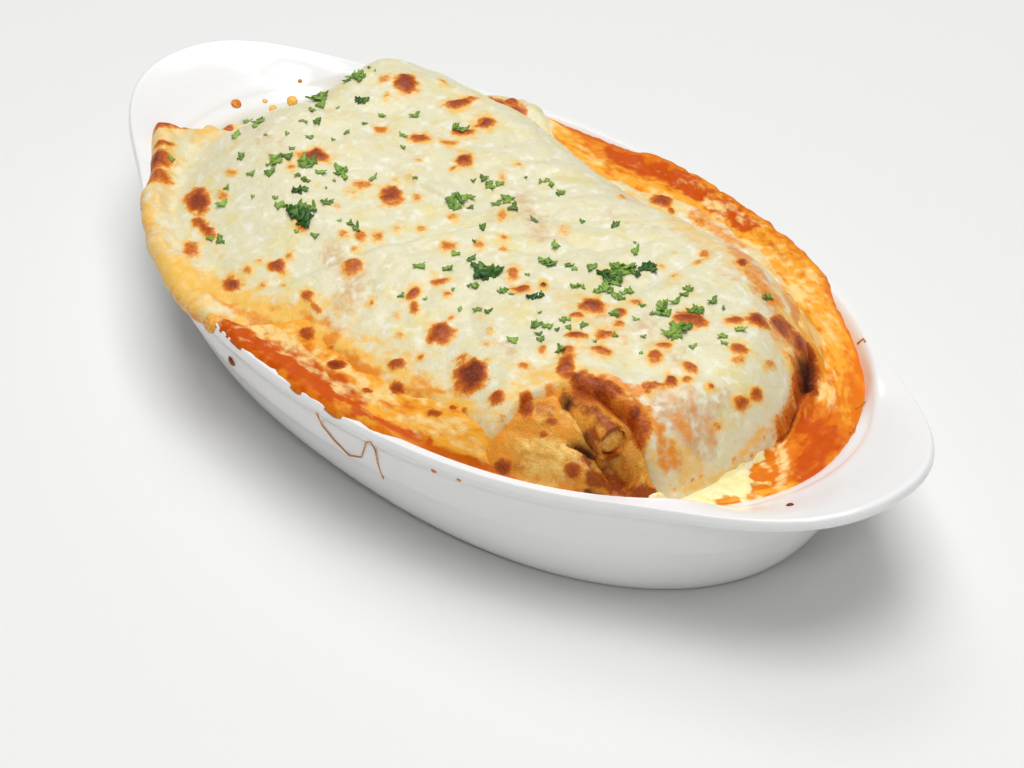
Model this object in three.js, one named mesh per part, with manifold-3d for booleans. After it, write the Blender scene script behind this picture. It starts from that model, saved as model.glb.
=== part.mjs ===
// Baked pasta in its own oval gratin dish.
//
// Millimetres, +Z up, +X along the dish from ear to ear, origin on the table under the dish's centre.
// Five solids: the glazed dish, the tomato sauce that fills it, the heap of tube pasta standing in the
// sauce, the blanket of melted cheese over the heap, and the cheese that ran down into a pool at one end.
//
// Everything in the dish is laid out around its centre: an angle in degrees, and how far out a point is
// as a fraction of the bowl's own oval. Each solid is a stack of rings with a single point at each end.

import * as THREE from 'three';
import { mergeVertices } from 'three/addons/utils/BufferGeometryUtils.js';
import Module from 'manifold-3d';

const wasm = await Module();
wasm.setup();

// ---------- driving dimensions ----------

// Bowl and its two ears, in plan.
const BOWL_HALF_LENGTH = 121;
const BOWL_HALF_WIDTH = 73;
const EAR_REACH = 140;              // from the centre to the tip of an ear
const EAR_HALF_WIDTH = 53.6;
const EAR_SQUARENESS = 2.27;        // 2 would be an ellipse, more is squarer
const EAR_BLEND = 30;               // higher gives a sharper corner where ear and bowl meet

// Heights of the rim.
const RIM_HEIGHT = 37.6;            // at the middle of the long sides
const EAR_RISE = 7.9;               // how much higher the tip of an ear is
const EAR_RISE_POWER = 3.54;

// What the bowl holds.
const SAUCE_LEVEL = 36.8;           // along the sides
const LEVEL_DROP_FRONT = 2.4;       // lower at the +X end, where the heap ends in a cliff
const LEVEL_DROP_BACK = 5.8;        // lower still at the -X end
const HEAP_TOP = 57.5;              // at its peak, near the far -X corner
const HEAP_SEAT = 12;               // how far above the table the heap's underside is
const CHEESE_THICKNESS = 2.6;
const CHEESE_EDGE = 1.2;            // its thickness at the edge
const LAP_THICKNESS = 1.3;          // of the baked sauce lying over the rim
const POOL_THICKNESS = 1.5;
const GAP = 0.35;                   // between solids that touch

const SEGMENTS = 60;                // around each solid

// ---------- small helpers ----------

const lerp = (a, b, t) => a + (b - a) * t;

// 0 at the first of two places, 1 at the second, and smooth between them, whichever is larger.
const ramp = (value, [from, to]) => THREE.MathUtils.smoothstep((value - from) / (to - from), 0, 1);

// How far apart two angles are, from 0 to 180.
const turnBetween = (angle, centre) => Math.abs(((angle - centre + 540) % 360) - 180);

// A rounded bump over an angle: 1 at its centre, 0 at halfWidth to either side.
function bump(angle, { centre, halfWidth }) {
  const turn = turnBetween(angle, centre);
  return turn < halfWidth ? 0.5 + 0.5 * Math.cos((Math.PI * turn) / halfWidth) : 0;
}

// The same with a flat top that is `flat` wide to either side.
const plateau = (angle, { centre, flat, halfWidth }) => ramp(turnBetween(angle, centre), [halfWidth, flat]);

// ---------- the dish in plan and height ----------

const angleAt = (x, y) => (THREE.MathUtils.radToDeg(Math.atan2(y, x)) + 360) % 360;
const fractionAt = (x, y) => Math.hypot(x / BOWL_HALF_LENGTH, y / BOWL_HALF_WIDTH);

function bowlRadius(angle) {
  const a = THREE.MathUtils.degToRad(angle);
  return 1 / fractionAt(Math.cos(a), Math.sin(a));
}

// The bowl's oval where it is wider, the ears' squared oval where they are, with a soft corner between.
function outlineRadius(angle) {
  const a = THREE.MathUtils.degToRad(angle);
  const along = Math.abs(Math.cos(a) / EAR_REACH) ** EAR_SQUARENESS;
  const across = Math.abs(Math.sin(a) / EAR_HALF_WIDTH) ** EAR_SQUARENESS;
  const ear = (along + across) ** (-1 / EAR_SQUARENESS);
  return (ear ** EAR_BLEND + bowlRadius(angle) ** EAR_BLEND) ** (1 / EAR_BLEND);
}

const rimTop = (x) => RIM_HEIGHT + EAR_RISE * (Math.abs(x) / EAR_REACH) ** EAR_RISE_POWER;

// ---------- solids from rings ----------

// A point at an angle and radius, at a height or on a surface, and then `push` further out.
function at(angle, radius, height, push = 0) {
  const a = THREE.MathUtils.degToRad(angle);
  const x = radius * Math.cos(a);
  const y = radius * Math.sin(a);
  const z = typeof height === 'function' ? height(x, y) : height;
  return new THREE.Vector3(x + push * Math.cos(a), y + push * Math.sin(a), z);
}

// The angle of each corner around a ring, closer together at the narrow ends.
function cornerAngle(step) {
  const turn = (2 * Math.PI * step) / SEGMENTS;
  return angleAt(BOWL_HALF_LENGTH * Math.cos(turn), BOWL_HALF_WIDTH * Math.sin(turn));
}

const ring = (point) => Array.from({ length: SEGMENTS }, (unused, step) => point(cornerAngle(step)));

const reversed = (list) => [...list].reverse();

// Rings run from the lowest point in the middle, outwards, over the edge and back to the top middle.
function solidFromRings(bottom, rings, top) {
  const positions = [];
  const face = (...corners) => corners.forEach((corner) => positions.push(corner.x, corner.y, corner.z));
  const first = rings[0];
  const last = rings[rings.length - 1];
  for (let k = 0; k < first.length; k += 1) {
    const next = (k + 1) % first.length;
    face(bottom, first[next], first[k]);
    for (let i = 0; i + 1 < rings.length; i += 1) {
      const inner = rings[i];
      const outer = rings[i + 1];
      face(inner[k], inner[next], outer[next]);
      face(inner[k], outer[next], outer[k]);
    }
    face(top, last[k], last[next]);
  }
  const loose = new THREE.BufferGeometry();
  loose.setAttribute('position', new THREE.Float32BufferAttribute(positions, 3));
  const merged = mergeVertices(loose, 1e-4);
  return new wasm.Manifold(new wasm.Mesh({
    numProp: 3,
    vertProperties: merged.attributes.position.array,
    triVerts: new Uint32Array(merged.index.array),
  }));
}

// What is left of a solid once its neighbours are taken away, without the crumbs.
function cutBy(solid, ...neighbours) {
  const left = neighbours.reduce((rest, neighbour) => rest.subtract(neighbour), solid);
  return left.decompose().reduce((largest, piece) => (piece.volume() > largest.volume() ? piece : largest));
}

function geometryOf(solid) {
  const mesh = solid.getMesh();
  const indexed = new THREE.BufferGeometry();
  indexed.setAttribute('position', new THREE.Float32BufferAttribute(mesh.vertProperties, mesh.numProp));
  indexed.setIndex([...mesh.triVerts]);
  const geometry = indexed.toNonIndexed();
  geometry.computeVertexNormals();
  return geometry;
}

// ---------- dish ----------

// The section of the dish. Each point is how far in from the bowl's oval it lies, and its height.
const FLOOR_TOP = 5.2;
const FOOT_RECESS = 1.2;
const FOOT = [[23.5, FOOT_RECESS], [22.5, 0], [18.6, 0]];
const OUTER_WALL = [[17.4, 1], [15.4, 3], [12.8, 6.5], [9.2, 13], [6, 20], [4.4, 23], [3, 30]];
const INNER_WALL = [[6, 34], [8.2, 27], [10.8, 18], [14.5, 11], [20, 7], [27, 5.5], [48, FLOOR_TOP]];

// The lip's heights are measured from the top of the rim. Its edge follows the outline with the ears,
// and the third number there says whether the point faces down, out or up.
const LIP_UNDERSIDE = [[2.2, -4.3]];
const LIP_EDGE = [[1.2, -3.6, -1], [0, -2, 0], [1, 0, 1]];
const LIP_INSIDE = [[3.4, -0.1], [4.6, -1.3]];

// `grow` makes the same dish fatter all over, to cut its neighbours clear of it.
function dishSolid(grow = 0) {
  const foot = ([inset, height]) => ring((angle) => at(angle, bowlRadius(angle) - inset, height - grow));
  const wall = (side) => ([inset, height]) =>
    ring((angle) => at(angle, bowlRadius(angle) - inset - side * grow, height + side * grow));
  const lip = (side) => ([inset, height]) => ring((angle) =>
    at(angle, bowlRadius(angle) - inset - side * grow, (x) => rimTop(x) + height + side * grow));
  const edge = ([inset, height, facing]) => ring((angle) =>
    at(angle, outlineRadius(angle) - inset + grow, (x) => rimTop(x) + height + facing * grow));
  const rings = [
    ...FOOT.map(foot),
    ...OUTER_WALL.map(wall(-1)),
    ...LIP_UNDERSIDE.map(lip(-1)),
    ...LIP_EDGE.map(edge),
    ...LIP_INSIDE.map(lip(1)),
    ...INNER_WALL.map(wall(1)),
  ];
  return solidFromRings(at(0, 0, FOOT_RECESS - grow), rings, at(0, 0, FLOOR_TOP + grow));
}

// ---------- heights of the food ----------

// The sauce is level along the sides and lower at both ends.
const FRONT_END = [60, 105];
const BACK_END = [-70, -108];
const level = (x) => SAUCE_LEVEL - LEVEL_DROP_FRONT * ramp(x, FRONT_END) - LEVEL_DROP_BACK * ramp(x, BACK_END);

// The heap's foot, as a fraction of the bowl's oval. It nearly fills the bowl, but stands back from the
// wall along the far side and at both ends.
const HEAP_FOOT = 0.955;
const STANDS_BACK = [
  { by: 0.265, centre: 82, halfWidth: 84 },
  { by: 0.13, centre: 2, halfWidth: 36 },
  { by: 0.12, centre: 173, halfWidth: 26 },
];
const heapFoot = (angle) => STANDS_BACK.reduce((foot, back) => foot - back.by * bump(angle, back), HEAP_FOOT);

// How far the flank of the heap takes to reach full height: a cliff at the front, less steep on the far
// side, and a long gentle slope on the near side. Each zone has a stretch where it fades in, along Y
// and along X.
const CLIFF_WIDTH = 15;
const NEAR_FLANK = { wider: 41, y: [10, -45], x: [66, 20] };
const FAR_FLANK = { wider: 11, y: [0, 30], x: [-82, -62] };
const BACK_FLANK = { wider: 18, y: [30, 4], x: [-40, -100] };
const within = (flank, x, y) => ramp(y, flank.y) * ramp(x, flank.x);

function flankWidth(x, y) {
  const near = within(NEAR_FLANK, x, y);
  const far = within(FAR_FLANK, x, y);
  const back = within(BACK_FLANK, x, y) * (1 - near);
  return CLIFF_WIDTH + NEAR_FLANK.wider * near + FAR_FLANK.wider * far + BACK_FLANK.wider * back;
}

// The heap's back is highest near its far -X corner, sags a little in the middle and leans to the near side.
const PEAK = { height: 3, x: -78, y: 29, spreadX: 14, spreadY: 11 };
const SAG = { depth: 2, x: -5, reach: [75, 10] };
const LEAN = { depth: 2.5, y: [-5, -60] };

function heapBack(x, y) {
  const peak = Math.exp(-(((x - PEAK.x) / PEAK.spreadX) ** 2) - ((y - PEAK.y) / PEAK.spreadY) ** 2);
  const sag = ramp(Math.abs(x - SAG.x), SAG.reach);
  return HEAP_TOP - PEAK.height * (1 - peak) - SAG.depth * sag - LEAN.depth * ramp(y, LEAN.y);
}

// Height of the food's top: the sauce's level with the heap's rounded flanks on it.
function foodTop(x, y) {
  const inside = (heapFoot(angleAt(x, y)) - fractionAt(x, y)) * bowlRadius(angleAt(x, y));
  const climb = THREE.MathUtils.clamp(inside / flankWidth(x, y), 0, 1);
  return lerp(level(x), heapBack(x, y), 1 - (1 - climb) ** 2);
}

// Along the near side baked sauce covers the foot of the heap, and the cheese stops short of it.
const BARE_SAUCE = { inset: 0.13, centre: 276, flat: 30, halfWidth: 44 };
const bareSauce = (angle) => plateau(angle, BARE_SAUCE);

// ---------- pasta ----------

// The heap stands in the sauce up to its foot and rises out of it to just under the cheese.
const HEAP_RINGS = [0.2, 0.4, 0.6, 0.75, 0.87, 0.96];
const HEAP_MAX_FRACTION = 0.93;     // so that it stays clear of the wall
const HEAP_INSET = 1;               // its edge lies this far inside its foot
const HEAP_EDGE_DEPTH = 4;          // and its underside this deep in the sauce there

function pastaSolid(grow = 0) {
  const edge = (angle) => Math.min(heapFoot(angle) - BARE_SAUCE.inset * bareSauce(angle), HEAP_MAX_FRACTION);
  const layer = (part, height) =>
    ring((angle) => at(angle, (bowlRadius(angle) * edge(angle) - HEAP_INSET) * part, height, grow * part));
  const under = (part) => layer(part, (x) => lerp(HEAP_SEAT, level(x) - HEAP_EDGE_DEPTH, part ** 3) - grow);
  const over = (part) => layer(part,
    (x, y) => Math.max(foodTop(x, y) - CHEESE_THICKNESS, level(x) + GAP) + grow);
  const rings = [...HEAP_RINGS.map(under), ...reversed(HEAP_RINGS).map(over)];
  const top = foodTop(0, 0) - CHEESE_THICKNESS + grow;
  return solidFromRings(at(0, 0, HEAP_SEAT - grow), rings, at(0, 0, top));
}

// ---------- sauce ----------

// Its outside runs down the middle of the dish's wall, so that cutting the dish away leaves the inside.
const SAUCE_SEAT = 2.6;
const WALL_MIDDLE = [[40, 2.8], [22, 3.2], [15, 6], [11.6, 11], [8.6, 18], [6, 26], [4.4, 32]];

// Where sauce has baked on over the rim, on the near side and along the far side. Elsewhere it only
// reaches the wall.
const LAPS = [{ centre: 268, flat: 26, halfWidth: 40 }, { centre: 72, flat: 24, halfWidth: 38 }];
const lap = (angle) => Math.max(...LAPS.map((zone) => plateau(angle, zone)));

// The edge of the sauce, from under the lap to its top: how far in from the oval it lies inside the
// wall, how far in from the outline over the rim, and how far above the rim's top there.
const SHORE_UNDERSIDE = { held: 3.6, heldHeight: 33, lapped: 2, lift: -1 };
const SHORE = [
  { held: 3.8, lapped: 0.7, lift: 0.4 * LAP_THICKNESS },
  { held: 4.4, lapped: 2.2, lift: LAP_THICKNESS },
  { held: 7, lapped: 6, lift: 0.8 * LAP_THICKNESS },
];

// On the near side it climbs the foot of the heap: a fraction of the oval, and the depth under the top.
const SAUCE_SLOPE = [[0.88, 0], [0.83, 0.6], [0.78, 3.6], [0.68, 6.6]];

function sauceSolid(grow = 0) {
  const wall = ([inset, height]) => ring((angle) => at(angle, bowlRadius(angle) - inset, height));
  const shore = (heldHeight, { held, lapped, lift }) => ring((angle) => {
    const inside = at(angle, bowlRadius(angle) - held, heldHeight);
    const over = at(angle, outlineRadius(angle) - lapped, (x) => rimTop(x) + lift, grow);
    return inside.lerp(over, lap(angle));
  });
  const slope = ([fraction, depth]) => ring((angle) => at(angle, bowlRadius(angle) * fraction,
    (x, y) => lerp(level(x), foodTop(x, y) - depth, bareSauce(angle)) + grow));
  const raised = (points) => points.map((point) => point.setZ(point.z + grow));
  const rings = [
    ...WALL_MIDDLE.map(wall),
    shore(SHORE_UNDERSIDE.heldHeight, SHORE_UNDERSIDE),
    ...SHORE.map((point) => raised(shore(level, point))),
    ...SAUCE_SLOPE.map(slope),
  ];
  return solidFromRings(at(0, 0, SAUCE_SEAT), rings, at(0, 0, SAUCE_LEVEL + grow));
}

// ---------- cheese ----------

// The blanket reaches over the heap to its foot. It hangs over the rim at the near -X corner, stops
// short of the baked sauce on the near side, and is pulled back from the cliff, where the pasta shows.
const CHEESE_PAST_FOOT = 0.015;
const OVER_RIM = { centre: 220, flat: 22, halfWidth: 29 };
const BARE_PASTA = { inset: 0.2, centre: 324, flat: 5, halfWidth: 20 };
const OVERHANG = 2.4;               // past the rim
const OVERHANG_ON_EAR = 1.005;      // but over an ear no further than this fraction of the bowl's oval
const CLIMBS_RIM = [0.76, 0.9];     // where it leaves the food for the rim, in fractions of the oval

const overRim = (angle) => plateau(angle, OVER_RIM);

function cheeseRadius(angle) {
  const bowl = bowlRadius(angle);
  const foot = heapFoot(angle) + CHEESE_PAST_FOOT;
  const onFood = foot - BARE_SAUCE.inset * bareSauce(angle) - BARE_PASTA.inset * plateau(angle, BARE_PASTA);
  const overhang = Math.min(outlineRadius(angle), bowl * OVERHANG_ON_EAR) + OVERHANG;
  return lerp(bowl * onFood, overhang, overRim(angle));
}

function cheeseTop(x, y) {
  const onFood = Math.max(foodTop(x, y), level(x) + CHEESE_EDGE + 2 * GAP);
  const onRim = Math.max(onFood, rimTop(x) + CHEESE_EDGE + GAP);
  return lerp(onFood, onRim, ramp(fractionAt(x, y), CLIMBS_RIM) * overRim(angleAt(x, y)));
}

// Made deeper than it is, and then cut by the heap, the sauce and the dish under it.
const CHEESE_RINGS = [0.15, 0.3, 0.45, 0.6, 0.72, 0.83, 0.92, 0.98];
const DEEP = 6;
const SHALLOW = 3.2;                // in the rings near the edge
const SHALLOW_FROM = 0.9;
const EDGE_FOOT = { part: 0.99, depth: 2.6 };

function cheeseSolid() {
  const layer = (part, depth) =>
    ring((angle) => at(angle, cheeseRadius(angle) * part, (x, y) => cheeseTop(x, y) - depth));
  const rings = [
    ...CHEESE_RINGS.map((part) => layer(part, part < SHALLOW_FROM ? DEEP : SHALLOW)),
    layer(EDGE_FOOT.part, EDGE_FOOT.depth),
    layer(1, CHEESE_EDGE / 2),
    ...reversed(CHEESE_RINGS).map((part) => layer(part, 0)),
  ];
  return solidFromRings(at(0, 0, foodTop(0, 0) - DEEP), rings, at(0, 0, foodTop(0, 0)));
}

// ---------- pool of cheese ----------

// Cheese that ran off the front of the heap lies on the sauce between the heap's foot and the wall.
const POOL = { angle: 347, halfAngle: 17, outer: 0.955, clearOfHeap: 0.023, corners: 26 };

// Its section: how much of its full outline each ring has, and the height above the sauce's level.
const POOL_SECTION = [[0.5, -0.6], [0.97, -0.6], [1, 0.6 * POOL_THICKNESS], [0.85, POOL_THICKNESS]];
const POOL_UNDERSIDE = -1;

function poolSolid() {
  const point = (corner, part, height) => {
    const turn = (2 * Math.PI * corner) / POOL.corners;
    const angle = POOL.angle + POOL.halfAngle * part * Math.cos(turn);
    const inner = Math.min(heapFoot(angle) + POOL.clearOfHeap, HEAP_MAX_FRACTION);
    const fraction = lerp(inner, POOL.outer, 0.5 - 0.5 * part * Math.sin(turn));
    return at(angle, bowlRadius(angle) * fraction, (x) => level(x) + height);
  };
  const outline = ([part, height]) =>
    Array.from({ length: POOL.corners }, (unused, corner) => point(corner, part, height));
  return solidFromRings(
    point(0, 0, POOL_UNDERSIDE), POOL_SECTION.map(outline), point(0, 0, POOL_THICKNESS));
}

// ---------- the whole ----------

const group = new THREE.Group();

function add(name, solid, color, roughness) {
  const material = new THREE.MeshStandardMaterial({ color, roughness, metalness: 0 });
  const mesh = new THREE.Mesh(geometryOf(solid), material);
  mesh.name = name;
  group.add(mesh);
}

const clearOfDish = dishSolid(GAP);
const clearOfPasta = pastaSolid(GAP);
const clearOfSauce = sauceSolid(GAP);

add('dish', dishSolid(), '#f2f1f2', 0.12);
add('sauce', cutBy(sauceSolid(), clearOfDish, clearOfPasta), '#dd6420', 0.3);
add('pasta', pastaSolid(), '#e6b45a', 0.4);
add('cheese', cutBy(cheeseSolid(), clearOfDish, clearOfSauce, clearOfPasta), '#ebe8c6', 0.35);
add('cheese_pool', cutBy(poolSolid(), clearOfDish, clearOfSauce, clearOfPasta), '#f3e39a', 0.3);

export default group;
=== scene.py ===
# %% [markdown]
# # Baked pasta in its gratin dish
#
# Tube pasta baked in tomato sauce under melted cheese, still in its white oval dish. Everything here is a
# skin over one idea: the food's top is a height above each point of the dish's plan. The sauce, the
# cheese and the pasta all read that one height, so they meet each other without gaps.

# %% Load the frame
import math
import bpy
import numpy as np
from mathutils import Matrix, Vector
from mathutils.bvhtree import BVHTree


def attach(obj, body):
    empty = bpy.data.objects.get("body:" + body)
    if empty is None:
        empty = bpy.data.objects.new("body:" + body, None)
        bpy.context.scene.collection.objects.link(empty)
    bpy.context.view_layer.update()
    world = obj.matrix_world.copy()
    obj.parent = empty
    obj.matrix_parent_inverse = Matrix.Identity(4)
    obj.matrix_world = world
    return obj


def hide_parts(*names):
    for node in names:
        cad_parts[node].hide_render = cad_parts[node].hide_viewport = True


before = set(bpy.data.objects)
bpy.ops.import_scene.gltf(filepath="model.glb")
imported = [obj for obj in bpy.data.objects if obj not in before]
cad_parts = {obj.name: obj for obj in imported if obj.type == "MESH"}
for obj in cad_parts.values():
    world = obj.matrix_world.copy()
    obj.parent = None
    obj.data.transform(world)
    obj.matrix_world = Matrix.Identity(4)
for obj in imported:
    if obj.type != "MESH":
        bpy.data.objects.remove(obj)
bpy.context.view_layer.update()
MM = 0.001                      # lengths below are in millimetres, and Blender's are in metres


def add_object(name, data):
    """An object made of this data, linked to the scene."""
    added = bpy.data.objects.new(name, data)
    bpy.context.scene.collection.objects.link(added)
    return added


# %% [markdown]
# The camera comes first, because some of the food's marks are placed by where they lie in its frame. It
# looks down on the long side of the dish from the front right. The lens is long, so there is hardly any
# perspective, as when food is shot from across a table.

# %% Camera
FRAME_WIDTH, FRAME_HEIGHT = 1024, 768
VIEW_AZIMUTH, VIEW_ELEVATION = math.radians(47.61), math.radians(36.66)
VIEW_TARGET = np.array([3.28, 2.93, 0.0])
VIEW_DISTANCE = 719.8
SENSOR_WIDTH, LENS = 36.0, 93.07
FOCAL_PIXELS = LENS / SENSOR_WIDTH * FRAME_WIDTH
CLIP_METRES = (0.05, 20)

to_camera = np.array([math.sin(VIEW_AZIMUTH) * math.cos(VIEW_ELEVATION),
                      -math.cos(VIEW_AZIMUTH) * math.cos(VIEW_ELEVATION),
                      math.sin(VIEW_ELEVATION)])
view_right = np.array([math.cos(VIEW_AZIMUTH), math.sin(VIEW_AZIMUTH), 0.0])
view_up = np.cross(to_camera, view_right)
camera_at = VIEW_TARGET + to_camera * VIEW_DISTANCE

camera = add_object("camera", bpy.data.cameras.new("camera"))
camera.data.lens, camera.data.sensor_width = LENS, SENSOR_WIDTH
camera.data.clip_start, camera.data.clip_end = CLIP_METRES
axes = Matrix(np.column_stack([view_right, view_up, to_camera]).tolist()).to_4x4()
camera.matrix_world = Matrix.Translation(camera_at * MM) @ axes
bpy.context.scene.camera = camera
print("camera at, mm:", camera_at.round(1))

# %% [markdown]
# A maker draws the dish as two ovals: the bowl, and a squarer, longer one whose ends are the ears. Where
# both are drawn from the same centre, a point is an angle and a radius. The rim rises a little towards
# the tips of the ears.

# %% The dish in plan
BOWL_HALF_LENGTH, BOWL_HALF_WIDTH = 121, 73
EAR_REACH, EAR_HALF_WIDTH, EAR_SQUARENESS, EAR_BLEND = 140, 53.6, 2.27, 30
RIM_HEIGHT, EAR_RISE, EAR_RISE_POWER = 37.6, 7.9, 3.54
EAR_FLAT = (3, 15)                       # how broad the flat of the rim is where an ear starts and is whole
EAR_DIP, EAR_FILLET = 5.0, 3.0           # the ears bend down into the bowl over a broad, soft edge
DIP_FROM, DIP_SPAN, DIP_POWER = 3.4, 2.4, 1.6


def ramp(value, ends):
    """0 at the first of two places, 1 at the second, and smooth between them."""
    t = np.clip((value - ends[0]) / (ends[1] - ends[0]), 0, 1)
    return t * t * (3 - 2 * t)


def angle_at(x, y):
    return np.degrees(np.arctan2(y, x)) % 360


def fraction_at(x, y):
    return np.hypot(x / BOWL_HALF_LENGTH, y / BOWL_HALF_WIDTH)


def bowl_radius(angle):
    return 1 / fraction_at(np.cos(np.radians(angle)), np.sin(np.radians(angle)))


def inset_at(x, y):
    """How far in from the bowl's edge a point is."""
    return bowl_radius(angle_at(x, y)) - np.hypot(x, y)


def outline_radius(angle):
    along = np.abs(np.cos(np.radians(angle)) / EAR_REACH) ** EAR_SQUARENESS
    across = np.abs(np.sin(np.radians(angle)) / EAR_HALF_WIDTH) ** EAR_SQUARENESS
    ear = (along + across) ** (-1 / EAR_SQUARENESS)
    return (ear ** EAR_BLEND + bowl_radius(angle) ** EAR_BLEND) ** (1 / EAR_BLEND)


def rim_top(x):
    return RIM_HEIGHT + EAR_RISE * (np.abs(x) / EAR_REACH) ** EAR_RISE_POWER


def ear_drop(angle, radius):
    """How far the top of an ear lies below its outline's height, more and more towards the bowl."""
    flat = outline_radius(angle) - bowl_radius(angle)
    share = np.clip((radius - bowl_radius(angle) + DIP_FROM) / (flat + DIP_SPAN), 0, 1)
    return EAR_DIP * ramp(flat, EAR_FLAT) * (1 - share) ** DIP_POWER


print("rim from", RIM_HEIGHT, "to", round(float(rim_top(EAR_REACH)), 1), "mm")

# %% [markdown]
# The food fills the bowl as a heap does: a sauce level, and flanks that climb from it to a rounded back.
# These are the same rules as the CAD solids follow, so the finished surface stays where they are.

# %% The form of the food
SAUCE_LEVEL, LEVEL_DROP_FRONT, LEVEL_DROP_BACK = 36.8, 2.4, 5.8
FRONT_END, BACK_END = (60, 105), (-70, -108)
HEAP_TOP, HEAP_FOOT = 55.9, 0.955         # the foot is a share of the bowl's radius
STANDS_BACK = [(0.265, 82, 84), (0.13, 2, 36), (0.12, 173, 26)]     # by how much, centre, half width
CLIFF_WIDTH = 15
NEAR_FLANK = (41, (66, 20), (10, -45))    # how much wider than the cliff, and where along x and across y
FAR_FLANK = (11, (-82, -62), (0, 30))
BACK_FLANK = (18, (-40, -100), (30, 4))
PEAK_HEIGHT, PEAK_AT, PEAK_SPREAD = 3, (-78, 29), (14, 11)
SAG, SAG_MIDDLE, SAG_ENDS = 2, -5, (75, 10)
LEAN, LEAN_ENDS = 2.5, (-5, -60)
LAPS = [(268, 26, 40), (72, 24, 38)]      # where sauce laps over the rim: centre, flat, half width
OVER_RIM = (215, 27, 33)                  # where the cheese does
BRIDGE, BRIDGE_REACH = (191, 24), 15      # the corner where cheese spans from the heap to the rim
CORNER, CORNER_REACH = (134, 5, 12), 9    # and another, smaller one on the far side
LAP_FROM, LAP_WHOLE, LAP_THICKNESS = 9.5, 5, 1.2


def turn_between(angle, centre):
    return np.abs((angle - centre + 540) % 360 - 180)


def bump(angle, centre, half_width):
    turn = np.minimum(turn_between(angle, centre), half_width)
    return 0.5 + 0.5 * np.cos(np.pi * turn / half_width)


def plateau(angle, centre, flat, half_width):
    return ramp(turn_between(angle, centre), (half_width, flat))


def level(x):
    return SAUCE_LEVEL - LEVEL_DROP_FRONT * ramp(x, FRONT_END) - LEVEL_DROP_BACK * ramp(x, BACK_END)


def heap_foot(angle):
    return HEAP_FOOT - sum(by * bump(angle, centre, half) for by, centre, half in STANDS_BACK)


def flank_width(x, y):
    flanks = (NEAR_FLANK, FAR_FLANK, BACK_FLANK)
    near, far, back = (ramp(y, in_y) * ramp(x, in_x) for _, in_x, in_y in flanks)
    return CLIFF_WIDTH + NEAR_FLANK[0] * near + FAR_FLANK[0] * far + BACK_FLANK[0] * (back * (1 - near))


def heap_back(x, y):
    peak = np.exp(-((x - PEAK_AT[0]) / PEAK_SPREAD[0]) ** 2 - ((y - PEAK_AT[1]) / PEAK_SPREAD[1]) ** 2)
    sag = SAG * ramp(np.abs(x - SAG_MIDDLE), SAG_ENDS)
    return HEAP_TOP - PEAK_HEIGHT * (1 - peak) - sag - LEAN * ramp(y, LEAN_ENDS)


def food_top(x, y):
    angle = angle_at(x, y)
    inside = (heap_foot(angle) - fraction_at(x, y)) * bowl_radius(angle)
    climb = np.clip(inside / flank_width(x, y), 0, 1)
    return level(x) + (heap_back(x, y) - level(x)) * (1 - (1 - climb) ** 2)


def overflow(angle):
    """How much the food laps over the rim, from 0 to 1."""
    return np.max([plateau(angle, *zone) for zone in LAPS + [OVER_RIM, CORNER]], axis=0)


def form(x, y):
    """Height of the food's top before any lumps."""
    angle, food = angle_at(x, y), food_top(x, y)
    on_rim = np.maximum(food, rim_top(x) + LAP_THICKNESS)
    reach = LAP_FROM + BRIDGE_REACH * bump(angle, *BRIDGE) + CORNER_REACH * plateau(angle, *CORNER)
    return food + (on_rim - food) * overflow(angle) * ramp(inset_at(x, y), (reach, LAP_WHOLE))


print("food from", round(float(level(-110)), 1), "to", round(float(form(*PEAK_AT)), 1), "mm high")

# %% [markdown]
# Food is never smooth, and never the same twice, but a script has to give the same dish each time. Noise
# here is a table of seeded random numbers, blended between its cells. A lump size in millimetres picks
# how far apart the cells are. Most surfaces add up a few noises, each written as (height, size, seed).

# %% Seeded noise
CELLS, GRID_TURN = 256, 0.6
SEAM_AT = 215                            # where round and round meets itself, under the cheese
ROUND_ASPECT, ROUND_RADIUS = 1.25, 98    # the rim as a circle, for measuring along it


def noise(x, y, size, seed, turn=GRID_TURN):
    """Smooth noise from about -1 to 1 whose lumps are `size` mm across, on a grid turned by `turn`."""
    table = np.random.default_rng(seed).uniform(-1, 1, (CELLS, CELLS))
    u = (x * math.cos(turn) - y * math.sin(turn)) / size
    v = (x * math.sin(turn) + y * math.cos(turn)) / size
    i, j = np.floor(u).astype(int), np.floor(v).astype(int)
    s, t = u - i, v - j
    s, t = s * s * (3 - 2 * s), t * t * (3 - 2 * t)

    def corner(a, b):
        return table[(i + a) % CELLS, (j + b) % CELLS]

    near = corner(0, 0) * (1 - s) + corner(1, 0) * s
    far = corner(0, 1) * (1 - s) + corner(1, 1) * s
    return near * (1 - t) + far * t


def noises(x, y, layers):
    return sum(height * noise(x, y, size, seed) for height, size, seed in layers)


def rim_coordinates(x, y):
    """Millimetres along the rim, and in from it. Streaks of sauce run along the first."""
    angle = np.radians(angle_at(x, y) - SEAM_AT)
    along = np.arctan2(np.sin(angle) * ROUND_ASPECT, np.cos(angle)) % (2 * np.pi) * ROUND_RADIUS
    return along, inset_at(x, y)


print("noise spot check:", noise(np.array([3.0]), np.array([7.0]), 5, 1).round(3))

# %% [markdown]
# Browned blisters, streaks of sauce and sprigs of herb are placed one by one, by where they lie in the
# camera's frame of 1024 by 768. A ray from the camera finds the point of the food behind that place, so
# each mark sits on the food from every side. Near that point, a small matrix turns distances on the food
# into distances in the frame, so that a mark keeps the outline it has there.

# %% Places seen from the camera
RAY_STEPS = 400
STEEPEST = 0.3                  # a mark is not stretched more than this grazing angle would
MARK_REACH, FAR_AWAY = 3, 9.0   # in half widths: where a mark has faded, and what counts as nowhere near


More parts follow.
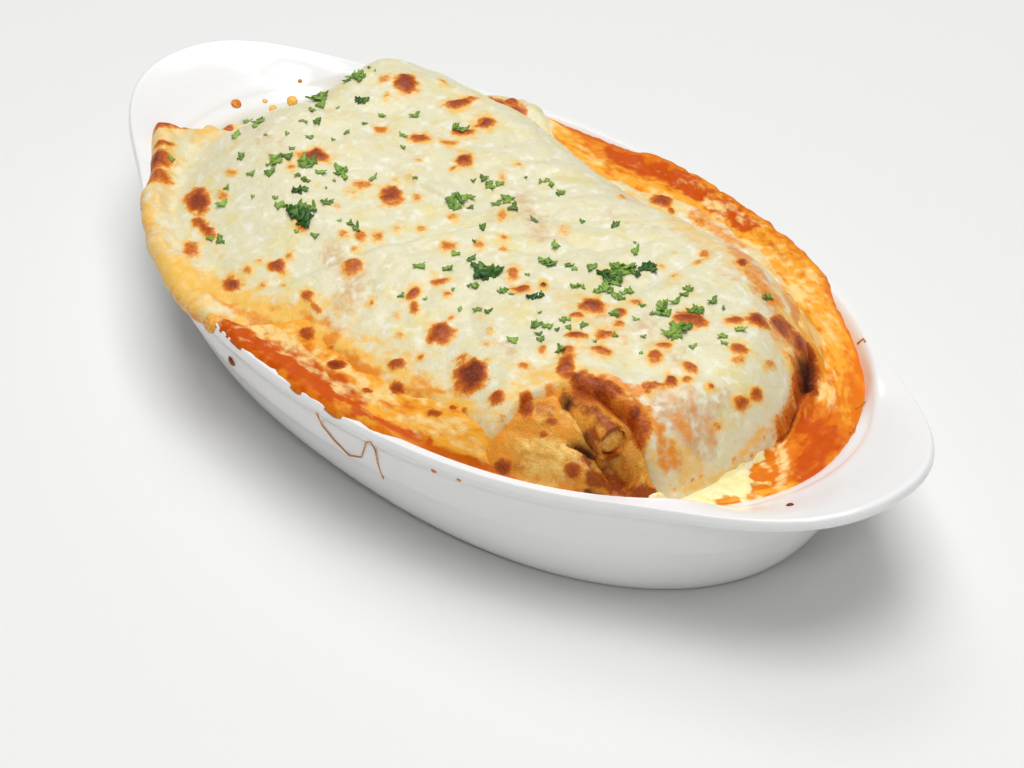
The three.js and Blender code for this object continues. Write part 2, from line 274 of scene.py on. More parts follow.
def frame_ray(px, py):
    across = (np.asarray(px, float) - FRAME_WIDTH / 2) / FOCAL_PIXELS
    down = (np.asarray(py, float) - FRAME_HEIGHT / 2) / FOCAL_PIXELS
    ray = across[..., None] * view_right - down[..., None] * view_up - to_camera
    return ray / np.linalg.norm(ray, axis=-1, keepdims=True)


def seen_on(places, surface=form, highest=60.0, lowest=28.0):
    """The points of a surface that lie behind places in the frame."""
    px, py = np.asarray(places, float).T
    ray = frame_ray(px, py)
    heights = np.linspace(highest, lowest, RAY_STEPS)
    reach = (heights[:, None] - camera_at[2]) / ray[:, 2]
    points = camera_at + reach[..., None] * ray
    above = points[..., 2] - surface(points[..., 0], points[..., 1])
    below = np.argmax(above < 0, axis=0).clip(1)
    column = np.arange(len(px))
    before, after = above[below - 1, column], above[below, column]
    share = np.clip(before / np.maximum(before - after, 1e-6), 0, 1)[:, None]
    return points[below - 1, column] * (1 - share) + points[below, column] * share


def frame_metric(point, surface=form, step=1.5):
    """Matrix from offsets in plan, in mm, to offsets in the frame, around a point of a surface."""
    x, y, _ = point
    slope_x = (surface(x + step, y) - surface(x - step, y)) / (2 * step)
    slope_y = (surface(x, y + step) - surface(x, y - step)) / (2 * step)
    normal = np.array([-slope_x, -slope_y, 1.0])
    normal /= np.linalg.norm(normal)
    ray = point - camera_at
    distance = np.linalg.norm(ray)
    ray = ray / distance
    facing = min(normal @ ray, -STEEPEST)
    pixel = distance / FOCAL_PIXELS
    moves = [(v - ray * (normal @ v) / facing)[:2] * pixel for v in (view_right, -view_up)]
    return np.linalg.inv(np.column_stack(moves))


def mark_box(x, y, foot, to_frame, reach):
    """The points of a plan that a mark round `foot` can touch, and their offsets from it."""
    reach = reach * np.linalg.norm(np.linalg.inv(to_frame), 2)
    near = (np.abs(x - foot[0]) < reach) & (np.abs(y - foot[1]) < reach)
    return near, np.stack([x[near] - foot[0], y[near] - foot[1]])


def mark(x, y, places, half_width):
    """Distance of each point from a stroke through places in the frame, in half widths of the stroke."""
    nearest = np.full(x.shape, FAR_AWAY)
    for start, end in zip(places, places[1:] or places):
        start, end = np.array(start, float), np.array(end, float)
        middle, along = (start + end) / 2, end - start
        foot = seen_on([middle])[0]
        to_frame = frame_metric(foot)
        near, offset = mark_box(x, y, foot, to_frame, np.linalg.norm(along) / 2 + MARK_REACH * half_width)
        offset = offset.T @ to_frame.T + middle - start
        share = np.clip(offset @ along / max(along @ along, 1e-9), 0, 1)[:, None]
        away = np.linalg.norm(offset - share * along, axis=-1) / half_width
        nearest[near] = np.minimum(nearest[near], away)
    return nearest


print("middle of the frame is on the food at", seen_on([(512, 384)])[0].round(1))

# %% [markdown]
# The blanket of cheese ends in a ragged line. Its places are listed in order round the dish: over the left
# end, down the far side, over the front end, round the pasta that it leaves bare, and back along the near
# side. Over the near left corner it hangs out over the rim. Each place gives an angle and a radius, and
# the line runs between them, with noise for the small tongues of cheese.

# %% Edge of the cheese
EDGE_PLACES = [
    (290, 104), (262, 114), (240, 124), (220, 127), (200, 127), (175, 128), (600, 172), (650, 188),
    (700, 205), (740, 232), (775, 265), (795, 290), (800, 300), (806, 330), (816, 352), (800, 385),
    (784, 412), (766, 432), (750, 452), (735, 468), (716, 476), (692, 492), (675, 499), (662, 496),
    (652, 471), (643, 446), (633, 425), (620, 410), (602, 398), (560, 388), (528, 398), (508, 420),
    (492, 434), (450, 412), (400, 390), (350, 366), (300, 326), (252, 304)]
# Over the rim the edge is given by angles, and by how far it hangs past the rim there.
HANG = [(194, -9), (198, -7), (204, -3.3), (209, -0.2), (215, 1.6), (223, 3.2), (243, 3.2)]
HANGS_FROM, HANGS_TO, HANG_STEP = HANG[0][0], HANG[-1][0], 3.0
KEEPS_CLEAR = (1, 4)                     # degrees, before and after the hanging part, without other places
CORNER_ANGLES, SHORT_OF_RIM = np.arange(110, 160, 4.0), 0.8
BACK_EDGE = (177, 16, 22)                # where the cheese ends at the wall, with no sauce over its edge
BARE_EDGE = (331, 13, 19)                # where it ends over the pasta that it leaves bare
BACK_FOOT = 0.015                        # the cheese's edge past the heap's foot, where it is hidden
FLAP, FLAP_OUT = (354, 11, 17), 1.8      # where the cheese hangs free down the front, and how far out
SLANT_STEP = 1.5                         # degrees, to either side, over which the edge's slant is measured
TONGUES, CALM_WHERE_FREE = [(1.3, 9, 11), (0.8, 3.6, 12)], 0.6


def edge_table():
    """Angles and radii of the cheese's edge, in order of angle."""
    rows = [(float(angle_at(x, y)), float(np.hypot(x, y))) for x, y, _ in seen_on(EDGE_PLACES)]
    rows = [row for row in rows if not HANGS_FROM - KEEPS_CLEAR[0] < row[0] < HANGS_TO + KEEPS_CLEAR[1]]
    for angle in CORNER_ANGLES:
        foot, rim = bowl_radius(angle) * (heap_foot(angle) + BACK_FOOT), bowl_radius(angle) - SHORT_OF_RIM
        rows.append((angle, float(foot + (rim - foot) * plateau(angle, *CORNER))))
    for angle in np.arange(HANGS_FROM, HANGS_TO + 1, HANG_STEP):
        rows.append((angle, float(outline_radius(angle) + np.interp(angle, *zip(*HANG)))))
    return np.array(sorted(rows)).T


edge_angles, edge_radii = edge_table()


def free_edge(angle):
    """1 where the edge of the cheese lies open, 0 where it runs on under the sauce."""
    return np.max([plateau(angle, *zone) for zone in (OVER_RIM, BACK_EDGE, FLAP, BARE_EDGE)], axis=0)


def edge_radius(angle):
    return np.interp(angle, edge_angles, edge_radii, period=360)


def inside_cheese(x, y):
    """About how far inside the edge of the cheese a point is, in mm. Outside it is negative."""
    angle = angle_at(x, y)
    radius = edge_radius(angle) + FLAP_OUT * plateau(angle, *FLAP)
    rise = edge_radius(angle + SLANT_STEP) - edge_radius(angle - SLANT_STEP)
    slant = rise / (2 * np.radians(SLANT_STEP) * radius)
    ragged = noises(x, y, TONGUES) * (1 - CALM_WHERE_FREE * free_edge(angle))
    return (radius - np.hypot(x, y)) / np.sqrt(1 + slant ** 2) + ragged


print(len(edge_angles), "places on the edge, radii", edge_radii.min().round(), edge_radii.max().round())

# %% [markdown]
# The tubes of pasta lie every way under the cheese, and the cheese sags between them. Each tube is a line
# on the plan, with its two ends. A rounded bump along it lifts the cheese. They are thrown in with a seed
# and kept if they have room. One more, which the cheese leaves bare, is placed further down.

# %% Where the tubes lie
TUBE_RADIUS, TUBE_HALF_LENGTH = 4.9, 19.0
TUBE_STRAIGHT = TUBE_HALF_LENGTH * 0.8   # the half length that lies in the heap's top
TUBE_ROOM, CROSSING_ROOM = 8.2, 4        # between the middles of two tubes, and more where they cross
OFF_THE_FOOT = 0.16
THROWS, THROW_SEED, THROW_X, THROW_Y = 900, 5, (-100, 90), (-60, 45)
DRAPE_WIDTH, DRAPE_POWER = 7.5, 1.5


def thrown_tubes():
    """Middle, in plan, and turn of the tubes that lie hidden under the cheese."""
    random = np.random.default_rng(THROW_SEED)
    kept = []
    for _ in range(THROWS):
        x, y, turn = random.uniform(*THROW_X), random.uniform(*THROW_Y), random.uniform(0, math.pi)
        if fraction_at(x, y) > heap_foot(angle_at(x, y)) - OFF_THE_FOOT:
            continue
        if any(math.hypot(x - a, y - b) < TUBE_ROOM + CROSSING_ROOM * abs(math.sin(turn - c))
               for a, b, c in kept):
            continue
        kept.append((x, y, turn))
    return kept


def drape(x, y):
    """How much the tubes under the cheese lift it, from 0 to 1."""
    lift = np.zeros(x.shape)
    for cx, cy, turn in hidden_tubes:
        along = (x - cx) * math.cos(turn) + (y - cy) * math.sin(turn)
        past = np.maximum(np.abs(along) - TUBE_STRAIGHT, 0)
        away = np.hypot(-(x - cx) * math.sin(turn) + (y - cy) * math.cos(turn), past)
        lift = np.maximum(lift, np.clip(1 - (away / DRAPE_WIDTH) ** 2, 0, 1) ** DRAPE_POWER)
    return lift


hidden_tubes = thrown_tubes()
print(len(hidden_tubes), "tubes under the cheese")

# %% [markdown]
# A layer of baked food is a closed solid with a fine, wavy top and a plainer underside. It could be
# sculpted, or cut from a cube with modifiers. A grid seen from above is simpler to steer: squares are kept
# where the layer is, every corner is lifted to its height, and the outermost corners are pulled onto the
# layer's edge so that no steps show.

# %% A layer of food on a grid
GRID_REACH, CORNER_PASSES = (146, 82), 4
SNAP_PASSES, SNAP_STEP = 2, 0.3
FLATTEST, SNAP_OUT, SNAP_IN = 0.25, 0.7, 0.4     # least steepness squared, and moves in squares
LEAST_THICKNESS = 0.25
NEIGHBOURS = ((0, -1, 0, 0, 1, 0), (1, 0, 1, 0, 1, 1), (0, 1, 1, 1, 0, 1), (-1, 0, 0, 1, 0, 0))
# each is the step to a neighbouring square, then the two corners that it shares with it


def one_patch(keep, deepest):
    """The connected patch of kept squares round the deepest one, with none that touch only at a corner."""
    for _ in range(CORNER_PASSES):
        a, b, c, d = keep[:-1, :-1], keep[1:, :-1], keep[:-1, 1:], keep[1:, 1:]
        b |= a & d & ~c
        a |= b & c & ~d
    patch = np.zeros_like(keep)
    patch[deepest] = True
    while True:
        grown = patch.copy()
        grown[1:] |= patch[:-1]
        grown[:-1] |= patch[1:]
        grown[:, 1:] |= patch[:, :-1]
        grown[:, :-1] |= patch[:, 1:]
        grown &= keep
        if (grown == patch).all():
            return patch
        patch = grown


def snap_to_edge(x, y, edge, square):
    """Points moved onto the line where `edge` is 0, as far as their squares allow."""
    for _ in range(SNAP_PASSES):
        slope_x = (edge(x + SNAP_STEP, y) - edge(x - SNAP_STEP, y)) / (2 * SNAP_STEP)
        slope_y = (edge(x, y + SNAP_STEP) - edge(x, y - SNAP_STEP)) / (2 * SNAP_STEP)
        steepness = np.maximum(slope_x ** 2 + slope_y ** 2, FLATTEST)
        move = np.clip(-edge(x, y) / steepness, -SNAP_OUT * square, SNAP_IN * square)
        x, y = x + move * slope_x, y + move * slope_y
    return x, y


def food_layer(name, edge, top, bottom, square, paint, wrap=None):
    """Closed mesh where `edge` is above 0, between two heights, with painted attributes on its points."""
    nx, ny = (int(2 * reach / square) for reach in GRID_REACH)
    left, front = -nx * square / 2, -ny * square / 2
    i, j = np.meshgrid(np.arange(nx), np.arange(ny), indexing="ij")
    depth = edge(left + (i + 0.5) * square, front + (j + 0.5) * square)
    keep = one_patch(depth > 0, np.unravel_index(np.argmax(depth), depth.shape))
    i, j = np.nonzero(keep)
    row = 2 * ny + 1
    first_low = (2 * nx + 1) * row

    def high(a, b):
        return a * row + b

    def low(a, b):
        return first_low + a * (ny + 1) + b

    quads = [np.stack([high(2 * i + a, 2 * j + b), high(2 * i + a + 1, 2 * j + b),
                       high(2 * i + a + 1, 2 * j + b + 1), high(2 * i + a, 2 * j + b + 1)], axis=1)
             for a in (0, 1) for b in (0, 1)]
    quads.append(np.stack([low(i, j), low(i, j + 1), low(i + 1, j + 1), low(i + 1, j)], axis=1))
    around = np.pad(keep, 1)
    walls = []
    for dx, dy, ax, ay, bx, by in NEIGHBOURS:
        side = ~around[i + 1 + dx, j + 1 + dy]
        p, q = i[side], j[side]
        walls.append(np.stack([
            low(p + ax, q + ay), low(p + bx, q + by), high(2 * (p + bx), 2 * (q + by)),
            high(2 * p + ax + bx, 2 * q + ay + by), high(2 * (p + ax), 2 * (q + ay))], axis=1))
    quads, walls = np.concatenate(quads), np.concatenate(walls)
    used, faces = np.unique(np.concatenate([quads.ravel(), walls.ravel()]), return_inverse=True)
    is_low = used >= first_low
    x = left + np.where(is_low, (used - first_low) // (ny + 1) * square, used // row * square / 2)
    y = front + np.where(is_low, (used - first_low) % (ny + 1) * square, used % row * square / 2)
    border = np.unique(faces[quads.size:])
    x[border], y[border] = snap_to_edge(x[border], y[border], edge, square)
    z = top(x, y)
    z[is_low] = np.minimum(bottom(x[is_low], y[is_low]), z[is_low] - LEAST_THICKNESS)
    painted = paint(x, y)
    if wrap:
        x, y, z = wrap(x, y, z)
    polygons = faces[:quads.size].reshape(-1, 4).tolist() + faces[quads.size:].reshape(-1, 5).tolist()
    return new_piece(name, np.stack([x, y, z], axis=1), polygons, painted)


def set_attribute(mesh, name, values):
    """Gives each point of a mesh a number or a vector."""
    values = np.asarray(values, np.float32)
    kind, field = ("FLOAT_VECTOR", "vector") if values.ndim == 2 else ("FLOAT", "value")
    mesh.attributes.new(name, kind, "POINT").data.foreach_set(field, values.ravel())


def new_mesh(name, points, edges, polygons, attributes):
    """An object with a mesh whose points are given in mm, and attributes of those points."""
    mesh = bpy.data.meshes.new(name)
    mesh.from_pydata((np.asarray(points) * MM).tolist(), edges, polygons)
    for attribute, values in attributes.items():
        set_attribute(mesh, attribute, values)
    return add_object(name, mesh)


def new_piece(name, points, polygons, painted=None):
    """A closed mesh object with smooth shading."""
    piece = new_mesh(name, points, [], polygons, painted or {})
    piece.data.polygons.foreach_set("use_smooth", [True] * len(piece.data.polygons))
    piece.data.update()
    return piece


def describe(piece):
    piece.data.calc_loop_triangles()
    points = np.array([v.co for v in piece.data.vertices]) / MM
    print(f"{piece.name}: {len(piece.data.loop_triangles)} triangles,",
          f"mm {points.min(axis=0).round(1)} to {points.max(axis=0).round(1)}")


# %% [markdown]
# Cheese that runs over the rim bends round its rounded edge. The layers are made flat out to there, and
# then what lies past the edge is wrapped: its distance past the edge becomes a way down and round.

# %% Wrap over the rim
BEND_STARTS, BEND_RADIUS, BEND_MOST = 1.7, 2.0, 1.7


def over_the_rim(x, y, z):
    angle, radius = angle_at(x, y), np.hypot(x, y)
    start = outline_radius(angle) - BEND_STARTS
    past = np.maximum(radius - start, 0)
    turn = np.minimum(past / BEND_RADIUS, BEND_MOST)
    straight = past - turn * BEND_RADIUS
    rise = z - rim_top(x) + BEND_RADIUS
    bent_radius = start + rise * np.sin(turn) + straight * np.cos(turn)
    bent_z = rim_top(x) - BEND_RADIUS + rise * np.cos(turn) - straight * np.sin(turn)
    scale = np.where(past > 0, bent_radius / np.maximum(radius, 1e-6), 1)
    return x * scale, y * scale, np.where(past > 0, bent_z, z)


print("2 mm past the near rim wraps to", [round(float(v), 1) for v in over_the_rim(0.0, -75.0, 38.8)])

# %% [markdown]
# Where the top browned: each blister is a bubble of cheese that rose and scorched. They are listed by
# place in the frame, width, height, slant in degrees, and how dark they went, from 0 to 1.

# %% Blisters
BLISTERS = [
    (168, 130, 33, 9, 0, .75), (228, 134, 13, 20, 0, .65), (162, 148, 25, 8, 0, .7),
    (157, 163, 30, 22, 0, .9), (158, 179, 32, 18, 0, .65), (198, 202, 27, 27, 0, .92),
    (223, 196, 16, 12, 0, .45), (205, 228, 27, 14, 35, .75), (141, 206, 5, 15, 0, .8),
    (315, 156, 32, 14, 0, .88), (292, 167, 10, 5, 0, .5), (231, 172, 12, 6, 0, .4),
    (384, 83, 13, 13, 0, .45), (406, 88, 24, 24, 0, .9), (381, 130, 18, 8, 0, .5),
    (387, 101, 9, 9, 0, .35), (362, 184, 20, 8, 0, .45), (352, 191, 16, 6, 0, .25),
    (360, 236, 13, 12, 0, .5), (379, 237, 13, 12, 0, .5), (344, 234, 11, 10, 0, .4),
    (301, 227, 12, 11, 0, .5), (337, 207, 12, 8, 0, .25), (443, 85, 10, 4, 35, .5),
    (461, 106, 38, 9, -15, .8), (509, 105, 26, 14, 30, .75), (486, 127, 22, 10, 0, .9),
    (463, 136, 26, 9, 0, .7), (420, 141, 22, 8, 10, .7), (451, 146, 20, 5, 0, .5),
    (464, 165, 18, 16, 0, .9), (453, 173, 9, 5, -30, .5), (392, 196, 23, 22, 0, .88),
    (418, 164, 12, 5, 0, .35), (395, 179, 9, 6, 0, .25), (410, 179, 9, 6, 0, .25),
    (417, 199, 8, 8, 0, .4), (452, 218, 10, 5, 0, .4), (421, 229, 10, 8, 0, .4),
    (397, 228, 10, 8, 0, .35), (448, 249, 20, 10, 0, .5), (480, 249, 12, 10, 0, .45),
    (502, 221, 10, 14, 0, .4), (504, 242, 8, 5, 0, .5), (503, 252, 10, 9, 0, .4),
    (502, 182, 9, 8, 0, .35), (564, 234, 15, 14, 0, .25), (518, 169, 8, 4, 0, .4),
    (622, 200, 8, 5, 0, .4), (662, 202, 27, 13, 10, .8), (671, 211, 9, 6, 45, .7),
    (700, 223, 18, 12, 20, .45), (704, 258, 12, 11, 0, .5), (698, 266, 9, 8, 0, .4),
    (661, 270, 12, 5, 0, .4), (674, 279, 10, 7, 0, .4), (743, 266, 13, 7, 0, .85),
    (191, 251, 18, 17, 0, .6), (248, 271, 10, 10, 0, .45), (259, 261, 8, 4, 0, .35),
    (278, 266, 18, 17, 0, .85), (289, 256, 10, 7, 0, .5), (233, 285, 20, 17, 0, .85),
    (263, 286, 9, 8, 0, .35), (284, 287, 9, 8, 0, .35), (306, 298, 15, 11, 0, .7),
    (317, 310, 14, 8, 40, .6), (353, 270, 22, 21, 0, .65), (354, 248, 9, 8, 0, .35),
    (372, 306, 5, 8, 0, .5), (307, 334, 18, 17, 0, .7), (336, 364, 21, 10, 0, .85),
    (254, 354, 7, 5, 0, .8), (210, 326, 18, 16, 0, .5), (331, 346, 10, 5, 0, .5),
    (367, 391, 12, 6, 0, .5), (440, 284, 20, 9, 0, .65), (447, 298, 12, 6, 0, .5),
    (413, 298, 23, 10, -35, .75), (414, 312, 12, 16, 0, .7), (397, 320, 12, 11, 0, .25),
    (400, 340, 10, 9, 0, .4), (440, 338, 29, 21, -30, .88), (451, 322, 10, 6, -40, .5),
    (421, 362, 9, 7, -30, .5), (490, 335, 13, 12, 0, .3), (472, 378, 38, 31, 10, 1.),
    (524, 370, 12, 8, 0, .5), (497, 402, 18, 17, 0, .7), (397, 366, 22, 10, 0, .75),
    (398, 388, 16, 16, 0, .85), (527, 405, 17, 28, 0, .85), (566, 371, 20, 30, 0, .85),
    (435, 413, 20, 9, 0, .75), (453, 408, 9, 7, 0, .6), (464, 409, 9, 7, 0, .6),
    (503, 420, 12, 10, 0, .3), (552, 420, 14, 9, 10, .7), (543, 433, 10, 9, 0, .6),
    (593, 426, 14, 13, 0, .75), (594, 309, 30, 14, 0, .9), (577, 320, 14, 6, 0, .6),
    (620, 318, 14, 7, 0, .7), (620, 328, 14, 8, 0, .6), (605, 339, 20, 11, 0, .65),
    (576, 341, 25, 8, 0, .8), (567, 355, 16, 8, 0, .6), (542, 355, 11, 12, 0, .5),
    (601, 356, 24, 9, 10, .7), (521, 290, 20, 8, 10, .7), (543, 289, 5, 5, 0, .8),
    (512, 276, 14, 12, 0, .55), (610, 280, 30, 6, 20, .45), (689, 323, 34, 16, 10, .88),
    (732, 324, 22, 9, 0, .7), (758, 322, 27, 14, 25, .9), (618, 316, 10, 7, 0, .5),
    (607, 358, 9, 6, 0, .5), (662, 350, 18, 6, 0, .65), (655, 359, 14, 12, 0, .7),
    (691, 371, 18, 8, 25, .65), (739, 354, 22, 15, 0, .7), (739, 364, 17, 10, 0, .4),
    (769, 368, 11, 10, 0, .4), (743, 408, 16, 17, 0, .68), (756, 400, 15, 16, 0, .72),
    (671, 384, 11, 21, -20, .85), (687, 382, 12, 10, 0, .6), (711, 391, 7, 9, 0, .6),
    (718, 432, 12, 11, 0, .4), (502, 466, 19, 15, 0, .85), (574, 472, 18, 17, 0, .78),
    (487, 349, 8, 4, 0, .3), (636, 306, 12, 7, 0, .5), (648, 395, 9, 7, 0, .6)]
BLISTER_RISE, HALO = 0.75, 5.0           # their height in mm, and how far the gold round them reaches
SHAKES = [(0.22, 3.1, 30), (0.2, 1.6, 31), (0.1, 0.8, 32)]      # of a mark's outline, in half widths
SHARP, SOFT, BROAD = (1.45, 0.25), (1.5, 0), (1.6, 0)           # where a mark starts, and where it is whole


def strokes_on(x, y, strokes, fade=SHARP):
    """The strongest of several soft strokes, each given by places, half width and strength."""
    shake = noises(x, y, SHAKES)
    field = np.zeros(x.shape)
    for places, half_width, strength in strokes:
        away = mark(x, y, places, half_width)
        near = away < MARK_REACH
        field[near] = np.maximum(field[near], strength * ramp(away[near] + shake[near], fade))
    return field


def blisters_on(x, y, fade=SHARP, wider=0.0, least=0.0):
    """The strongest blister at each point. `wider` adds to their half sizes, `least` to their darkness."""
    shake = noises(x, y, SHAKES)
    field = np.zeros(x.shape)
    for foot, to_frame, width, height, slant, dark in placed_blisters:
        half_width, half_height, slant = width / 2 + wider, height / 2 + wider, math.radians(slant)
        near, offset = mark_box(x, y, foot, to_frame, MARK_REACH * max(half_width, half_height))
        right, down = to_frame @ offset
        along = (right * math.cos(slant) + down * math.sin(slant)) / half_width
        across = (down * math.cos(slant) - right * math.sin(slant)) / half_height
        strength = min(least + dark * (1 - 0.5 * least), 1.0)
        field[near] = np.maximum(field[near], strength * ramp(np.hypot(along, across) + shake[near], fade))
    return field


placed_blisters = [(foot, frame_metric(foot), *blister[2:])
                   for blister, foot in zip(BLISTERS, seen_on([blister[:2] for blister in BLISTERS]))]
print(len(BLISTERS), "blisters")

# %% [markdown]
# Other marks are strokes too: places where fat and sauce came through the cheese, crust along folds,
# hollows, and threads of cheese lying on the sauce. Some of them are painted shade: a dark line along the
# flap's lower edge, brown under the flap and in the front hollow, near black in gaps between the pasta, and
# the tint of thin cheese on slopes that face away from the light. Each is a list of places, a half width in
# the frame, and a strength.

# %% Strokes
GOLD = [
    ([(148, 215), (165, 265)], 20, .55), ([(165, 265), (192, 308)], 22, .9),
    ([(150, 140), (148, 170)], 12, .5), ([(660, 185), (740, 232)], 6, .3),
    ([(670, 222), (722, 250), (765, 290)], 12, .55), ([(400, 300), (440, 350), (470, 400)], 14, .35),
    ([(510, 395), (540, 425)], 14, .7), ([(180, 275), (215, 296), (290, 318), (350, 352)], 21, .95),
    ([(350, 352), (420, 385), (480, 415)], 14, .6), ([(480, 320), (495, 340)], 10, .4),
    ([(560, 300), (600, 330), (620, 350)], 20, .4), ([(735, 395), (765, 400)], 20, .35),
    ([(690, 495), (730, 470), (775, 420)], 5, .8), ([(725, 350), (755, 360)], 14, .3),
    ([(440, 130), (480, 135)], 18, .3), ([(200, 220), (240, 285), (300, 300)], 16, .35)]
# Thin, translucent cheese, and painted shade: the same tint on the left end's slope and on the far flank
# past the ridge, which face away from the light.
THIN_AND_SHADED = [
    ([(660, 405), (690, 425), (694, 450)], 28, .85), ([(720, 400), (700, 440)], 18, .6),
    ([(330, 255), (360, 285), (345, 305)], 20, .6), ([(520, 200), (540, 235)], 18, .55),
    ([(240, 120), (290, 150)], 16, .35), ([(600, 215), (690, 240), (750, 285), (775, 325)], 9, .35),
    ([(640, 330), (680, 365)], 16, .5), ([(500, 345), (540, 380)], 12, .45),
    ([(770, 300), (790, 330)], 8, .8)]
SAUCE_THROUGH = [
    ([(716, 276), (740, 284)], 7, .4), ([(672, 446), (676, 466)], 11, .75),
    ([(690, 398), (694, 418)], 6, .5), ([(705, 425), (712, 446)], 7, .5),
    ([(700, 210), (735, 250)], 8, .6), ([(640, 408), (660, 430)], 9, .8),
    ([(600, 385), (640, 395)], 8, .8), ([(648, 388), (668, 400), (690, 395)], 7, .45),
    ([(600, 320), (625, 345)], 9, .35), ([(553, 395), (600, 396), (640, 425)], 12, 1.0),
    ([(520, 425), (560, 412)], 8, .7), ([(168, 286), (196, 312)], 9, .75),
    ([(215, 305), (290, 328)], 7, .6), ([(150, 222), (156, 240)], 5, .4),
    ([(778, 330), (800, 352)], 10, .8), ([(748, 262), (775, 300)], 8, .55),
    ([(735, 250), (765, 290), (775, 300)], 12, .7), ([(692, 214), (742, 244)], 8, .6),
    ([(676, 418), (690, 440)], 10, .6), ([(662, 440), (664, 470)], 9, .7)]
# Browned crust along folds, and painted shade: the thin line along the flap's lower edge, and the brown
# under the flap and in the hollow at the front end.
CRUST_AND_SHADE = [
    ([(492, 103), (508, 104), (520, 112)], 8, .7),
    ([(582, 390), (600, 397), (622, 408), (641, 420)], 15, .82), ([(646, 389), (662, 391)], 5, .6),
    ([(776, 322), (790, 336), (806, 350)], 9, .8), ([(811, 354), (813, 389)], 6, .7),
    ([(804, 354), (807, 380)], 14, .75), ([(784, 414), (752, 454), (716, 471), (671, 496)], 1.3, .35),
    ([(802, 386), (792, 408), (779, 430)], 9, .68), ([(160, 300), (150, 285)], 5, .4),
    ([(740, 262), (748, 276)], 4, .35)]
HOLLOWS = [
    ([(807, 358), (808, 380)], 8, 3.2), ([(797, 348), (806, 360)], 5, 1.2),
    ([(806, 384), (796, 402), (786, 418)], 5, 1.4), ([(568, 438), (592, 448)], 4, 2.5),
    ([(566, 402), (568, 404)], 4, 1.2)]
FOLDS = [
    ([(505, 108), (520, 106)], 9, 1.6), ([(580, 390), (600, 396), (629, 414)], 13, 1.3),
    ([(645, 452), (647, 460)], 9, 1.0), ([(788, 358), (790, 362)], 6, 0.8),
    ([(790, 352), (793, 372)], 6, 1.2), ([(793, 386), (782, 402)], 6, 1.0),
    ([(655, 385), (660, 420), (655, 455)], 7, .5), ([(684, 395), (690, 430), (684, 462)], 6, .4),
    ([(520, 110), (600, 165), (690, 205)], 8, .4), ([(600, 275), (690, 300), (760, 318)], 14, .4)]
CREAM = [
    ([(240, 340), (250, 339)], 3, .5), ([(268, 344), (281, 345)], 3, .5),
    ([(277, 353), (307, 359)], 3, .7), ([(243, 314), (263, 316)], 4, .5),
    ([(290, 358), (330, 376)], 4, .3), ([(345, 388), (420, 424), (500, 452)], 18, .58),
    ([(262, 330), (300, 345), (350, 368)], 14, .7),
    ([(730, 235), (790, 278), (824, 320), (836, 370)], 17, .62),
    ([(800, 305), (822, 345), (826, 385)], 10, .5), ([(812, 360), (822, 400)], 4, .8),
    ([(540, 133), (600, 160)], 6, .45), ([(560, 140), (640, 168)], 4, .4),
    ([(720, 230), (770, 270)], 8, .6), ([(826, 380), (838, 410)], 9, .6),
    ([(778, 440), (786, 462), (780, 482)], 9, 1.0), ([(766, 432), (774, 447)], 7, 1.2),
    ([(784, 418), (790, 430)], 4, .7), ([(762, 462), (772, 470)], 4, .8),
    ([(776, 452), (780, 476)], 3, .9), ([(790, 470), (800, 476)], 3, .6),
    ([(640, 497), (600, 492)], 6, .3)]
MELTED = [
    ([(345, 400), (420, 430), (500, 455)], 20, .8),
    ([(700, 200), (770, 250), (815, 300), (838, 360)], 20, .8), ([(840, 380), (848, 420)], 10, .6),
    ([(520, 460), (560, 480)], 14, .7), ([(660, 500), (760, 494), (800, 485)], 8, .8),
    ([(530, 122), (600, 152)], 10, .4)]
DEEP = [
    ([(212, 318), (300, 368), (352, 402)], 19, .95), ([(352, 406), (430, 445), (500, 470)], 6, .9),
    ([(612, 154), (685, 182), (750, 226)], 15, 1.05), ([(735, 212), (790, 262)], 8, .55),
    ([(800, 415), (825, 440), (805, 468)], 26, .95), ([(785, 400), (775, 430)], 12, .8)]
# Burnt spots, and painted shade that is near black: in the slit between the bare tubes, in the gap along
# the rim below them, and in the hollow at the front end.
CHAR_AND_SHADE_STROKES = [
    ([(566, 402), (567, 403)], 5, 1.0), ([(805, 358), (808, 378)], 8, .92),
    ([(543, 289), (544, 289)], 2.5, .8), ([(586, 493), (600, 497)], 3, 1.0),
    ([(572, 439), (590, 446)], 4, .9)]


def food_relief(x, y):
    """Folds and hollows that cheese, sauce and pasta share."""
    return strokes_on(x, y, FOLDS, (1.2, 0)) - strokes_on(x, y, HOLLOWS, (1.3, 0.2))


print(len(GOLD + THIN_AND_SHADED + SAUCE_THROUGH + CRUST_AND_SHADE + CHAR_AND_SHADE_STROKES), "strokes of colour on the cheese")

# %% [markdown]
# The cheese: shreds that melted together into one blanket. It sags over the tubes, swells a little at its
# edge, and dives under the sauce there, so that the line between the two is where their surfaces cross.
# It and everything below it is cut off just inside the porcelain.

